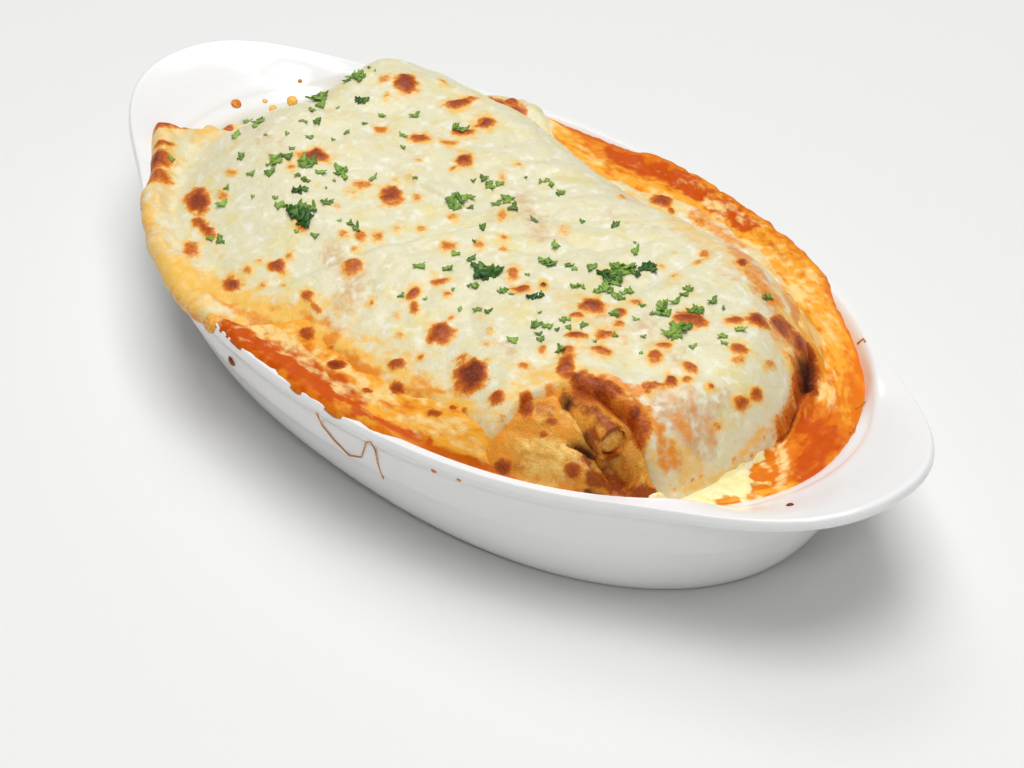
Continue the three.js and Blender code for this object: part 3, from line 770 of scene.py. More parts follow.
# %% Cheese
CHEESE_SQUARE, CHEESE_THICKNESS, BACK_THICKNESS = 1.1, 2.2, 4
TUCKED, TUCK_DEPTH = 1.5, 1.6         # how far the cheese runs on under the sauce, and how deep
FRONT_FLAP = (348, 16, 26)
FAR_SIDE, PALE_CORNER = (82, 34, 48), (134, 12, 26)      # where the cheese stays pale almost to its edge
CHEESE_LUMPS = [(0.5, 14, 41), (0.28, 6, 42), (0.13, 2.6, 43), (0.09, 1.4, 44)]
HANGING_LUMPS = [(0.9, 5.2, 45), (0.5, 2.7, 46)]
DRAPE_RISE, SWELLING, EDGE_ROUNDING = 1.3, (0.1, 1.1), 2.0
WALL_SECTION = [(3.4, 0), (4.6, -1.4), (6, -4.5), (8.2, -11), (10.8, -20), (14.5, -27), (20, -31),
                (27, -32.4)]          # insets, and depths under the rim
INTO_WALL = 0.9                       # the food reaches just into the porcelain


def dish_inside(x, y):
    """Height of the porcelain's upper face."""
    return rim_top(x) + np.interp(inset_at(x, y), *zip(*WALL_SECTION))


def cheese_edge(x, y):
    return inside_cheese(x, y) + TUCKED * (1 - free_edge(angle_at(x, y)))


def cheese_top(x, y):
    c = inside_cheese(x, y)
    angle = angle_at(x, y)
    hanging, free, front = plateau(angle, *OVER_RIM), free_edge(angle), plateau(angle, *FRONT_FLAP)
    lumps = noises(x, y, CHEESE_LUMPS) + hanging * ramp(c, (16, 5)) * noises(x, y, HANGING_LUMPS)
    swelling = (SWELLING[0] + SWELLING[1] * np.maximum(free, front)) * ramp(c, (0, 2.5)) * ramp(c, (16, 4))
    bubbles = BLISTER_RISE * blisters_on(x, y, (1.15, 0.3))
    draped = form(x, y) + DRAPE_RISE * drape(x, y) * ramp(c, (3, 14)) * (1 - hanging)
    body = draped + lumps * ramp(c, (0, 4)) + swelling + bubbles + food_relief(x, y)
    tucked = body - TUCK_DEPTH * ramp(c, (3.6, -TUCKED))
    rounded = np.sqrt(np.clip(1 - (1 - np.clip(c / EDGE_ROUNDING, 0, 1)) ** 2, 0, 1))
    under = form(x, y) - LAP_THICKNESS - 0.1 - (free - hanging) - ear_drop(angle, np.hypot(x, y)) * hanging
    return tucked * (1 - free) + (under + (body - under) * rounded) * free


def cheese_bottom(x, y):
    angle = angle_at(x, y)
    hanging = plateau(angle, *OVER_RIM) * ramp(inset_at(x, y), (8, 4))
    deep = CHEESE_THICKNESS + BACK_THICKNESS * plateau(angle, *BACK_EDGE)
    over_rim = LAP_THICKNESS + 0.4 + ear_drop(angle, np.hypot(x, y))
    lowest = np.where(hanging > 0, 0.0, dish_inside(x, y) - INTO_WALL)
    return np.maximum(form(x, y) - deep * (1 - hanging) - over_rim * hanging, lowest)


def streaks(x, y, seed):
    """Noise drawn out along the rim, from about -1 to 1."""
    along, inset = rim_coordinates(x, y)
    waver = inset + 0.8 * noise(x, y, 11, seed + 2)
    return 0.6 * noise(along * 0.3, waver, 2.6, seed, 0) + 0.4 * noise(along * 0.5, waver, 1.3, seed + 1, 0)


def paint_cheese(x, y):
    c = inside_cheese(x, y)
    angle = angle_at(x, y)
    pale = plateau(angle, *PALE_CORNER)
    covered = (1 - free_edge(angle)) * (1 - 0.85 * plateau(angle, *FRONT_FLAP)) * (1 - pale)
    covered *= 1 - 0.6 * plateau(angle, *FAR_SIDE)
    open_edge = np.maximum(plateau(angle, *OVER_RIM), plateau(angle, *BARE_EDGE))
    rich = 0.35 + 0.65 * np.maximum(covered, 0.7 * open_edge)
    edge_gold = ramp(c, (18, 2)) * (0.7 + 0.6 * streaks(x, y, 51)) * rich * (1 - 0.6 * pale)
    edge_sauce = ramp(c, (13, -1)) * (0.45 + 1.1 * streaks(x, y, 53)) * covered
    halo = blisters_on(x, y, (1.5, 0.1), HALO, 0.3)
    # Crust, with painted shade along the flap's edge and in the hollow at the front end.
    crust_and_shade_marks = strokes_on(x, y, CRUST_AND_SHADE) * (0.85 + 0.4 * noise(x, y, 2.4, 55))
    return {"brown": np.maximum(blisters_on(x, y), crust_and_shade_marks),
            "gold": np.maximum.reduce([halo, edge_gold, strokes_on(x, y, GOLD, SOFT)]),
            "thin": strokes_on(x, y, THIN_AND_SHADED, SOFT),
            "sauce": np.maximum(edge_sauce, strokes_on(x, y, SAUCE_THROUGH, SOFT)),
            "burnt": strokes_on(x, y, CHAR_AND_SHADE_STROKES)}


cheese = food_layer("cheese_blanket", cheese_edge, cheese_top, cheese_bottom, CHEESE_SQUARE, paint_cheese,
                    over_the_rim)
describe(cheese)

# %% [markdown]
# The sauce: tomato with cream and melted cheese in it, which boiled up between the heap and the wall and
# over the rim on both long sides. It fills the dish down to the porcelain wherever its top is above it,
# as a liquid does. Under the cheese it isn't seen, so it is a ring.

# %% Sauce
SAUCE_SQUARE = 1.0
UNDER_CHEESE = 8.0
BARE_PASTA = (331, 9, 17)              # where the heap stands bare above the sauce
HELD_BACK, SPILLED_SHORT = 4.2, 0.7    # how far inside the bowl's edge the sauce ends, and where it laps
SCALLOPS = [(0.7, 8, 61), (0.5, 3.1, 62)]
RIPPLES, RIPPLES_ALONG = [(0.2, 2.6, 64), (0.12, 1.2, 65)], (0.3, 7, 63)


def sauce_edge(x, y):
    angle = angle_at(x, y)
    along, _ = rim_coordinates(x, y)
    lapped = np.max([plateau(angle, *zone) for zone in LAPS], axis=0)
    scallops = sum(height * noise(along, 0 * along, size, seed, 0) for height, size, seed in SCALLOPS)
    held = bowl_radius(angle) - HELD_BACK
    spilled = np.minimum(outline_radius(angle), bowl_radius(angle) * 1.01) - SPILLED_SHORT + scallops
    shore = held + (spilled - held) * lapped - np.hypot(x, y)
    return np.minimum(shore, UNDER_CHEESE - inside_cheese(x, y))


def sauce_top(x, y):
    c = inside_cheese(x, y)
    angle = angle_at(x, y)
    along, inset = rim_coordinates(x, y)
    height, size, seed = RIPPLES_ALONG
    ripples = height * noise(along, inset * 2.2, size, seed, 0) + noises(x, y, RIPPLES)
    tucked = 1.2 * ramp(c, (0, 3)) + 5 * ramp(c, (4, UNDER_CHEESE))
    low = np.maximum.reduce([plateau(angle, *BARE_PASTA) * ramp(inset, (3, 7)) * ramp(c, (2, -2)),
                             2.5 * plateau(angle, *BACK_EDGE) * ramp(c, (3, 0)),
                             plateau(angle, *FLAP) * ramp(c, (1.5, -0.5))])
    flood = form(x, y) + (level(x) - 0.5 - form(x, y)) * np.minimum(low, 1) - np.maximum(low - 1, 0)
    thin = overflow(angle) * ramp(sauce_edge(x, y), (2.0, 0)) * (c < 2) * (LAP_THICKNESS + 0.3)
    return flood + ripples * ramp(inset, (0.5, 4)) - tucked - thin + food_relief(x, y)


def sauce_bottom(x, y):
    return np.minimum(dish_inside(x, y) - INTO_WALL, sauce_top(x, y) - 0.4)


def paint_sauce(x, y):
    along, inset = rim_coordinates(x, y)
    lapped = overflow(angle_at(x, y))
    c = inside_cheese(x, y)
    drawn = streaks(x, y, 66)
    near_cheese = ramp(c, (-12, 0)) * (1 - 0.8 * plateau(angle_at(x, y), *FRONT_FLAP))
    return {"cream": strokes_on(x, y, CREAM, SOFT) + 0.35 * drawn + near_cheese * (0.28 + 0.9 * drawn),
            "melted": np.maximum(strokes_on(x, y, MELTED, SOFT), near_cheese * (0.9 + 0.6 * drawn)),
            "deep": strokes_on(x, y, DEEP, (1.4, 0)),
            "brown": np.maximum(blisters_on(x, y), strokes_on(x, y, CRUST_AND_SHADE)),
            "shore": ramp(inset, (7.5, 4.5)) * (1 - lapped) + 0.5 * lapped * ramp(inset, (2.5, 1)),
            "burnt": strokes_on(x, y, CHAR_AND_SHADE_STROKES),
            "flow": np.stack([along * 0.4, inset, 0 * inset], axis=1) * MM}


sauce = food_layer("tomato_sauce", sauce_edge, sauce_top, sauce_bottom, SAUCE_SQUARE, paint_sauce,
                   over_the_rim)
describe(sauce)

# %% [markdown]
# The pool: cheese that slid off the front of the heap and lies pale on the sauce below it.

# %% Cheese pool
POOL_PATCHES = [
    ([(664, 497), (700, 489), (736, 470)], 17, 1.0), ([(700, 492), (740, 484)], 14, 1.0),
    ([(736, 470), (757, 450)], 13, .9), ([(756, 484), (770, 484)], 6, .62),
    ([(742, 497), (760, 497)], 7, .6), ([(768, 438), (775, 446)], 5, .62)]
POOL_SQUARE, POOL_CUT, POOL_STEEPNESS = 1.0, 0.42, 7      # it ends where its patches fade to the cut
POOL_OFF_WALL, POOL_ABOVE, POOL_BELOW, POOL_THICKNESS = 5, 1.2, 2.4, 0.7
POOL_TONGUES, POOL_LUMPS = [(0.22, 4.2, 71), (0.16, 1.9, 74)], [(0.3, 4, 72), (0.15, 1.4, 73)]


def pool_edge(x, y):
    patches = strokes_on(x, y, POOL_PATCHES, (1.7, 0.2)) + noises(x, y, POOL_TONGUES)
    return np.minimum((patches - POOL_CUT) * POOL_STEEPNESS, inset_at(x, y) - POOL_OFF_WALL)


def pool_top(x, y):
    lies_on = np.minimum(form(x, y), level(x) + POOL_ABOVE)
    return lies_on + POOL_THICKNESS * ramp(pool_edge(x, y), (0, 3.5)) - 0.4 + noises(x, y, POOL_LUMPS)


def pool_bottom(x, y):
    return level(x) - POOL_BELOW


def paint_pool(x, y):
    e = pool_edge(x, y)
    return {"brown": 0 * x, "gold": 0.25 + 0.45 * ramp(e, (3.5, 0)) + 0.2 * noise(x, y, 4, 75),
            "thin": 0 * x, "sauce": 0.75 * ramp(e, (2.2, -0.2)), "burnt": 0 * x}


pool = food_layer("cheese_on_sauce", pool_edge, pool_top, pool_bottom, POOL_SQUARE, paint_pool)
describe(pool)

# %% [markdown]
# The heap under the cheese is tubes in sauce. Almost all of it is hidden, so one plain core fills it, and
# real tubes lie in its top.

# %% Core of the heap
CORE_SQUARE, CORE_LOWEST, CORE_DEPTH, CORE_INSET = 2.0, 12.0, 3.4, 0.02
CORE_LUMPS = [(0.5, 3, 81), (0.3, 1.5, 82)]
ROOM_FOR_OPEN_END = [([(612, 448), (622, 464)], 19, 6.0)]
INTO_PORCELAIN = 0.6


def core_edge(x, y):
    angle = angle_at(x, y)
    return (heap_foot(angle) - CORE_INSET) * bowl_radius(angle) - np.hypot(x, y)


def core_top(x, y):
    open_end = strokes_on(x, y, ROOM_FOR_OPEN_END, (1.3, 0.3))
    return form(x, y) - CORE_DEPTH + noises(x, y, CORE_LUMPS) - open_end - 2 * ramp(core_edge(x, y), (4, 0))


def core_bottom(x, y):
    return np.maximum(CORE_LOWEST, dish_inside(x, y) - INTO_PORCELAIN)


def paint_core(x, y):
    return {"stained": 0 * x + 0.6}


core = food_layer("pasta_core", core_edge, core_top, core_bottom, CORE_SQUARE, paint_core)
describe(core)

# %% [markdown]
# Over the near right corner the cheese stops short, and the pasta shows under a film of browned sauce. A
# finer layer covers the core there. Its bulges are tubes that lie just below, and the gaps between them
# are deep. Painted shade darkens the gaps, the place under the open tube and the inside of its end, and a
# painted highlight lightens the tops of the tubes.

# %% Bare pasta
FILM_SQUARE, FILM_DEPTH, FILM_THICKNESS = 0.9, 1.4, 10
FILM_ZONE, FILM_SLOPE = (329, 16), 1.6    # middle and half width in degrees, and mm per degree at its sides
UNDER_EDGE, OFF_WALL = 3, 3.6             # how far it runs on under the cheese, and ends off the wall
FILM_LUMPS, SIDE_TONGUES = [(0.3, 3.5, 84), (0.2, 1.5, 85)], [(1.4, 4.3, 86), (0.8, 1.7, 87)]
BULGES = [
    ([(512, 446), (548, 456), (590, 478)], 23, 1.6), ([(545, 486), (600, 495)], 8, 0.8),
    ([(600, 474), (622, 480), (642, 489)], 12, 1.3), ([(520, 418), (556, 422), (580, 426)], 11, 1.1),
    ([(494, 470), (540, 486)], 9, 0.9), ([(528, 402), (552, 400)], 9, 0.6)]
GAPS = [
    ([(572, 438), (592, 447)], 5, 2.6), ([(594, 462), (606, 478)], 5, 1.2),
    ([(580, 494), (600, 497)], 4, 1.6), ([(612, 448), (622, 464)], 18, 7.0)]
# Golden pasta, and a painted highlight on the top of the big bulge and along the top of the bare tube.
FILM_GOLD_AND_HIGHLIGHT = [
    ([(528, 440), (566, 448)], 16, .75), ([(530, 460), (562, 474)], 16, .6),
    ([(510, 480), (560, 488)], 10, .6), ([(560, 450), (590, 470)], 6, .5),
    ([(562, 404), (600, 432)], 4, .7)]
FILM_SAUCED = [
    ([(488, 436), (500, 470)], 20, 1.0), ([(505, 424), (535, 415)], 9, .8),
    ([(520, 480), (580, 494)], 7, .7), ([(530, 428), (575, 430)], 9, .6),
    ([(560, 396), (600, 430)], 10, .8), ([(505, 410), (530, 425)], 14, .8)]
# Sauce stains on the pasta, and painted shade: in the slit and gaps between tubes, under the open tube,
# inside its end, and along the rim below.
FILM_STAINS_AND_SHADE = [
    ([(596, 476), (620, 480), (646, 492)], 17, 1.0), ([(572, 440), (594, 450)], 7, 1.0),
    ([(566, 396), (604, 424)], 11, .8), ([(525, 395), (550, 412)], 12, .6),
    ([(575, 494), (602, 497)], 6, 1.0), ([(612, 452), (622, 466)], 17, .9),
    ([(586, 456), (600, 474)], 8, .8)]


def film_edge(x, y):
    turn = turn_between(angle_at(x, y), FILM_ZONE[0])
    side = (FILM_ZONE[1] - turn) * FILM_SLOPE + noises(x, y, SIDE_TONGUES)
    inner = np.minimum(UNDER_EDGE - inside_cheese(x, y), inset_at(x, y) - OFF_WALL)
    return np.minimum(inner, side) + 0.5 * noise(x, y, 3, 83)


def film_top(x, y):
    bumps = strokes_on(x, y, BULGES, BROAD) - strokes_on(x, y, GAPS, (1.4, 0)) + noises(x, y, FILM_LUMPS)
    tucked = 3.5 * ramp(inside_cheese(x, y), (-0.2, 2.2)) + 1.2 * ramp(film_edge(x, y), (2, 0))
    return form(x, y) - FILM_DEPTH + bumps - tucked + 0.4 * blisters_on(x, y)


def film_bottom(x, y):
    return np.maximum(form(x, y) - FILM_THICKNESS, dish_inside(x, y) - INTO_PORCELAIN)


def paint_film(x, y):
    return {"brown": np.maximum(0.85 * blisters_on(x, y), strokes_on(x, y, CRUST_AND_SHADE)),
            "golden": strokes_on(x, y, FILM_GOLD_AND_HIGHLIGHT, BROAD),
            "sauced": strokes_on(x, y, FILM_SAUCED, BROAD),
            "stained": strokes_on(x, y, FILM_STAINS_AND_SHADE, SOFT),
            "burnt": strokes_on(x, y, CHAR_AND_SHADE_STROKES)}


film = food_layer("bare_pasta", film_edge, film_top, film_bottom, FILM_SQUARE, paint_film)
describe(film)

# %% [markdown]
# Materials and Geometry Nodes are both trees of nodes. They can be drawn by hand in the editor, but one
# small function that adds a node and links it lets a whole tree be read from top to bottom. Every material
# here starts and ends in the same way, so those two steps are functions too.

# %% Adding nodes
FACTOR, COLOUR_A, COLOUR_B, COLOUR_OUT = 0, 6, 7, 2          # sockets of a Mix node that mixes colours


def add_node(tree, kind, settings=None, inputs=None):
    """A node with its settings. Inputs given as outputs of other nodes are linked, and values are set."""
    node = tree.nodes.new(kind)
    for name, value in (settings or {}).items():
        setattr(node, name, value)
    for name, value in (inputs or {}).items():
        sources = value if isinstance(value, (list, tuple)) else [value]
        if isinstance(sources[0], bpy.types.NodeSocket):
            for source in sources:
                tree.links.new(source, node.inputs[name])
        else:
            node.inputs[name].default_value = value
    return node


def new_material(name):
    """A material without nodes, its tree, and the object's own coordinates in it."""
    material = bpy.data.materials.new(name)
    material.use_nodes = True
    material.node_tree.nodes.clear()
    place = add_node(material.node_tree, "ShaderNodeTexCoord").outputs["Object"]
    return material, material.node_tree, place


def set_surface(tree, inputs):
    """Ends a material's tree with its shader."""
    shader = add_node(tree, "ShaderNodeBsdfPrincipled", inputs=inputs)
    add_node(tree, "ShaderNodeOutputMaterial", inputs={"Surface": shader.outputs["BSDF"]})


# %% [markdown]
# Colours are written the way a painter's chart gives them, as sRGB hex, and turned to the linear values
# that the renderer works in. Food materials here are built in layers over a base: each layer shows where
# its painted attribute, broken up by noise of a real size, is high enough.

# %% Colours and the layered food material
BROWNING = [(0.0, "#F5DC98"), (0.2, "#F1B654"), (0.4, "#DE8222"), (0.62, "#BC5712"), (0.85, "#963C0C"),
            (1.0, "#6A2A0A")]
MOTTLING, BROWN_SHOWS, DARKEST_AT = 0.6, (0.36, 0.72), 1.35
CHAR_AND_SHADE_TINT = "#2A1410"
SUBSURFACE_RADIUS = (1.0, 0.55, 0.25)
MIX_COLOURS, MULTIPLY_ADD = {"data_type": "RGBA"}, {"operation": "MULTIPLY_ADD"}
SMOOTH = {"interpolation_type": "SMOOTHSTEP"}


def linear(colour):
    channels = [int(colour[i:i + 2], 16) / 255 for i in (1, 3, 5)]
    return [c / 12.92 if c <= 0.04045 else ((c + 0.055) / 1.055) ** 2.4 for c in channels] + [1.0]


def layered_food(name, base, layers, roughness, coat, subsurface, grain_height, specular=0.35, flow=False,
                 toast_from=0.3):
    """A moist baked food. A layer is (attribute, size of its noise in mm, strength, low, high, colour)."""
    material, tree, place = new_material(name)
    along = place
    if flow:
        along = add_node(tree, "ShaderNodeAttribute", {"attribute_name": "flow"}).outputs["Vector"]
    sizes = sorted({layer[1] for layer in layers} | {0.5, 0.9, 1.8})
    grain = {size: add_node(tree, "ShaderNodeTexNoise", inputs={
        "Vector": along if size > 1 else place, "Scale": 1 / (size * MM), "Detail": 3.0,
        "Roughness": 0.55}).outputs["Fac"] for size in sizes}
    colour = linear(base)
    for attribute, size, strength, low, high, tint in layers:
        middle, painted = 0, 0.5 - strength / 2
        if attribute:
            middle = strength / 2
            painted = add_node(tree, "ShaderNodeAttribute", {"attribute_name": attribute}).outputs["Fac"]
        broken = add_node(tree, "ShaderNodeMath", MULTIPLY_ADD, {
            0: grain[size], 1: strength, 2: painted}).outputs[0]
        share = add_node(tree, "ShaderNodeMapRange", SMOOTH, {
            "Value": broken, "From Min": low + middle, "From Max": high + middle}).outputs[0]
        colour = add_node(tree, "ShaderNodeMix", MIX_COLOURS, {
            FACTOR: share, COLOUR_A: colour, COLOUR_B: linear(tint)}).outputs[COLOUR_OUT]
    browned, burnt = (add_node(tree, "ShaderNodeAttribute", {"attribute_name": attribute}).outputs["Fac"]
                      for attribute in ("brown", "burnt"))
    mottled = add_node(tree, "ShaderNodeMath", MULTIPLY_ADD, {
        0: grain[0.9], 1: MOTTLING, 2: browned}).outputs[0]
    crust = add_node(tree, "ShaderNodeMapRange", inputs={
        "Value": mottled, "From Min": toast_from, "From Max": DARKEST_AT}).outputs[0]
    toast = add_node(tree, "ShaderNodeValToRGB", inputs={"Fac": crust})
    while len(toast.color_ramp.elements) < len(BROWNING):
        toast.color_ramp.elements.new(0.5)
    for element, (position, tint) in zip(toast.color_ramp.elements, BROWNING):
        element.position, element.color = position, linear(tint)
    shows = add_node(tree, "ShaderNodeMapRange", SMOOTH, {
        "Value": mottled, "From Min": BROWN_SHOWS[0], "From Max": BROWN_SHOWS[1]}).outputs[0]
    # The browning, then the char colour, which also paints near black shade in gaps and hollows.
    for share, tint in ((shows, toast.outputs["Color"]), (burnt, linear(CHAR_AND_SHADE_TINT))):
        colour = add_node(tree, "ShaderNodeMix", MIX_COLOURS, {
            FACTOR: share, COLOUR_A: colour, COLOUR_B: tint}).outputs[COLOUR_OUT]
    rough = add_node(tree, "ShaderNodeMath", MULTIPLY_ADD, {0: browned, 1: 2.0, 2: 1.0}).outputs[0]
    bubbled = add_node(tree, "ShaderNodeMath", {"operation": "MULTIPLY"}, {
        0: grain[0.5], 1: rough}).outputs[0]
    soft = add_node(tree, "ShaderNodeBump", inputs={
        "Height": grain[1.8], "Distance": grain_height * 2 * MM, "Strength": 1.0}).outputs["Normal"]
    fine = add_node(tree, "ShaderNodeBump", inputs={
        "Height": bubbled, "Distance": grain_height * MM, "Strength": 1.0,
        "Normal": soft}).outputs["Normal"]
    gloss = add_node(tree, "ShaderNodeMapRange", inputs={
        "Value": grain[0.9], "From Min": 0.3, "From Max": 0.7, "To Min": roughness[0],
        "To Max": roughness[1]}).outputs[0]
    set_surface(tree, {
        "Base Color": colour, "Roughness": gloss, "IOR": 1.44, "Specular IOR Level": specular,
        "Subsurface Weight": subsurface, "Subsurface Radius": SUBSURFACE_RADIUS,
        "Subsurface Scale": 1.5 * MM, "Coat Weight": coat, "Coat Roughness": 0.12, "Normal": fine})
    print(name, "with", len(layers), "layers")
    return material


# Mozzarella that melted and set: cream white and a little translucent, yellower in thick folds, with a
# thin film of fat on it. It browns from gold through orange to dark brown.
melted_cheese = layered_food("melted_mozzarella", "#E5DFBC", [
    ("", 9.0, 1.6, 0.45, 0.85, "#E5D99E"),
    # The "thin" layer is translucent cheese, and also painted shade on slopes that face away from the
    # light.
    ("thin", 2.4, 1.2, 0.15, 0.9, "#D9AE80"),
    ("", 3.2, 1.5, 0.5, 0.9, "#F2F1E2"),
    ("", 1.8, 1.6, 0.6, 1.0, "#E5D496"),
    ("", 5.0, 1.8, 0.72, 1.1, "#EDCA78"),
    ("gold", 2.1, 0.9, 0.15, 0.9, "#F5C25A"),
    ("sauce", 1.6, 0.9, 0.2, 0.8, "#EA8E2A")],
    roughness=(0.28, 0.45), coat=0.12, subsurface=0.05, grain_height=0.12)

# The yellow cheese of the pool, wetter than the blanket because it lies in the sauce's fat.
pool_cheese = layered_food("melted_cheese_in_fat", "#FAEDAC", [
    ("", 4.0, 1.4, 0.45, 0.8, "#FBF5D4"),
    ("", 1.8, 1.4, 0.55, 0.9, "#F8E08A"),
    ("gold", 2.1, 0.8, 0.45, 0.95, "#F8D264"),
    ("sauce", 1.6, 0.8, 0.3, 0.7, "#F2A040")],
    roughness=(0.15, 0.28), coat=0.4, subsurface=0.15, grain_height=0.08)

# Tomato and cream sauce, boiled thick: an orange suspension with redder spots of tomato and pale shreds
# of cheese drawn out along the rim. Baked this long, its top is almost dull.
tomato_sauce = layered_food("tomato_cream_sauce", "#E2760F", [
    ("", 5.0, 1.6, 0.45, 0.85, "#F09422"),
    ("", 1.8, 1.6, 0.55, 0.9, "#D45C08"),
    ("melted", 1.8, 1.5, 0.25, 0.85, "#F7AC34"),
    ("deep", 2.4, 1.4, 0.3, 0.9, "#CC5204"),
    ("cream", 1.3, 1.6, 0.35, 1.25, "#FAD68C"),
    ("shore", 1.8, 1.0, 0.4, 1.1, "#CC640E")],
    roughness=(0.3, 0.5), coat=0.04, subsurface=0.0, grain_height=0.18, specular=0.12, flow=True,
    toast_from=-0.1)

# Durum wheat pasta, cooked and then baked in sauce: yellow amber, stained orange, moist. Its darkest layer
# is stains and painted shade between the tubes, and its golden layer is partly a painted highlight on them.
tube_pasta = layered_food("cooked_durum_pasta", "#E8A03A", [
    ("", 6.0, 1.8, 0.45, 0.85, "#DA8420"),
    ("", 1.8, 1.8, 0.5, 0.95, "#F4BE5C"),
    ("golden", 2.4, 1.4, 0.2, 0.9, "#FBCF72"),
    ("sauced", 2.0, 1.5, 0.2, 0.9, "#F29A2E"),
    ("stained", 2.4, 1.2, 0.3, 0.9, "#A04A0C")],
    roughness=(0.14, 0.36), coat=0.15, subsurface=0.04, grain_height=0.28, specular=0.25, toast_from=0.0)

FINISHES = [(cheese, melted_cheese), (pool, pool_cheese), (sauce, tomato_sauce), (core, tube_pasta),
            (film, tube_pasta)]
for piece, material in FINISHES:
    piece.data.materials.append(material)

# %% [markdown]
# Each tube of pasta is a short line, and Geometry Nodes turn all the lines into hollow tubes at once: a
# bore along the line, thickened outwards to a wall. Modelling one tube and copying it would give straight
# tubes only, and cooked pasta bends. The same tree, with a thin wall, makes the threads further down.

# %% Tree for the tubes
MERGE_WITHIN = 0.01


def new_tree(name, **inputs):
    """An empty geometry tree with the named inputs, and the outputs of its input node."""
    tree = bpy.data.node_groups.new(name, "GeometryNodeTree")
    for way in ("INPUT", "OUTPUT"):
        tree.interface.new_socket("Geometry", in_out=way, socket_type="NodeSocketGeometry")
    for label, kind in {**inputs, "Material": "Material"}.items():
        tree.interface.new_socket(label, in_out="INPUT", socket_type="NodeSocket" + kind)
    return tree, add_node(tree, "NodeGroupInput").outputs


def close_tree(tree, geometry, material):
    """Turns what a tree made into plain mesh, gives it its material, and puts it out."""
    plain = add_node(tree, "GeometryNodeRealizeInstances", inputs={"Geometry": geometry}).outputs[0]
    coated = add_node(tree, "GeometryNodeSetMaterial", inputs={"Geometry": plain, "Material": material})
    add_node(tree, "NodeGroupOutput", inputs={"Geometry": coated.outputs[0]})


def grow(name, seeds, tree, **values):
    """The plain mesh that a geometry tree makes of a mesh of seeds."""
    modifier = seeds.modifiers.new(tree.name, "NODES")
    modifier.node_group = tree
    identifiers = {item.name: item.identifier for item in tree.interface.items_tree
                   if item.in_out == "INPUT"}
    for label, value in values.items():
        modifier[identifiers[label]] = value
    bpy.context.view_layer.update()
    grown = bpy.data.meshes.new_from_object(seeds.evaluated_get(bpy.context.evaluated_depsgraph_get()))
    grown.name = name
    bpy.data.objects.remove(seeds)
    return add_object(name, grown)


def new_lines(name, lines, radii):
    """A mesh of open lines, with the radius of each line's tube given to its points."""
    lengths = [len(line) for line in lines]
    ends = np.cumsum(lengths)
    edges = [(k, k + 1) for k in range(ends[-1] - 1) if k + 1 not in ends]
    return new_mesh(name, np.concatenate(lines), edges, [], {"tube_radius": np.repeat(radii, lengths) * MM})


tube_tree, given = new_tree("hollow_tubes", Wall="Float", Sides="Int")
radius = add_node(tube_tree, "GeometryNodeInputNamedAttribute", {"data_type": "FLOAT"}, {
    "Name": "tube_radius"}).outputs[0]
bore = add_node(tube_tree, "ShaderNodeMath", {"operation": "SUBTRACT"}, {
    0: radius, 1: given["Wall"]}).outputs[0]
line = add_node(tube_tree, "GeometryNodeMeshToCurve", inputs={"Mesh": given["Geometry"]}).outputs[0]
ring = add_node(tube_tree, "GeometryNodeCurvePrimitiveCircle", {"mode": "RADIUS"}, {
    "Resolution": given["Sides"], "Radius": 1.0}).outputs[0]
inner = add_node(tube_tree, "GeometryNodeCurveToMesh", inputs={
    "Curve": line, "Profile Curve": ring, "Scale": bore, "Fill Caps": False}).outputs[0]
outer = add_node(tube_tree, "GeometryNodeExtrudeMesh", {"mode": "FACES"}, {
    "Mesh": inner, "Offset Scale": given["Wall"], "Individual": False}).outputs["Mesh"]
turned = add_node(tube_tree, "GeometryNodeFlipFaces", inputs={"Mesh": inner}).outputs[0]
both = add_node(tube_tree, "GeometryNodeJoinGeometry", inputs={0: [outer, turned]}).outputs[0]
whole = add_node(tube_tree, "GeometryNodeMergeByDistance", inputs={
    "Geometry": both, "Distance": MERGE_WITHIN * MM}).outputs[0]
close_tree(tube_tree, whole, given["Material"])
print("tube tree has", len(tube_tree.nodes), "nodes")

# %% [markdown]
# The hidden tubes follow the heap's top. The bare one is placed by where its two ends are seen, and by how
# far its hidden end lies behind the open one.

# %% Tubes of pasta
TUBE_POINTS, FEWEST_INSIDE = 12, 4
TUBE_WALL, TUBE_SIDES = 1.3, 20
TUBE_SUNK, TUBE_OFF_FOOT, CLEAR_OF_FILM = 1.6, 0.1, 4
BARE_ENDS = [(556, 394), (614, 443)]      # in the frame
BARE_OVER, BARE_BEHIND = 2.0, 20.0        # its open end over the food's top, and before the other end
BARE_ARCH = 1.2                           # how far its middle bends up
TUBE_SAUCED, TUBE_BROWNED, SHARP_ANGLE = 0.55, 0.9, math.radians(50)


def hidden_line(cx, cy, turn):
    """The part of a tube's line that is inside the heap."""
    reach = np.linspace(-1, 1, TUBE_POINTS) * TUBE_STRAIGHT
    x, y = cx + reach * math.cos(turn), cy + reach * math.sin(turn)
    if film_edge(x, y).max() >= -CLEAR_OF_FILM:
        return []
    inside = heap_foot(angle_at(x, y)) - TUBE_OFF_FOOT - fraction_at(x, y) > 0
    x, y = x[inside], y[inside]
    return np.stack([x, y, form(x, y) - TUBE_RADIUS - TUBE_SUNK], axis=1)


def bare_line():
    near = seen_on(BARE_ENDS[1:], lambda x, y: form(x, y) + BARE_OVER)[0]
    ray = frame_ray(*BARE_ENDS[0])
    far = camera_at + ray * ((near - camera_at) @ -to_camera) / (ray @ -to_camera) - to_camera * BARE_BEHIND
    share = np.linspace(0, 1, TUBE_POINTS)[:, None]
    line = far * (1 - share) + near * share
    line[:, 2] += BARE_ARCH * np.sin(np.pi * share[:, 0])
    return line


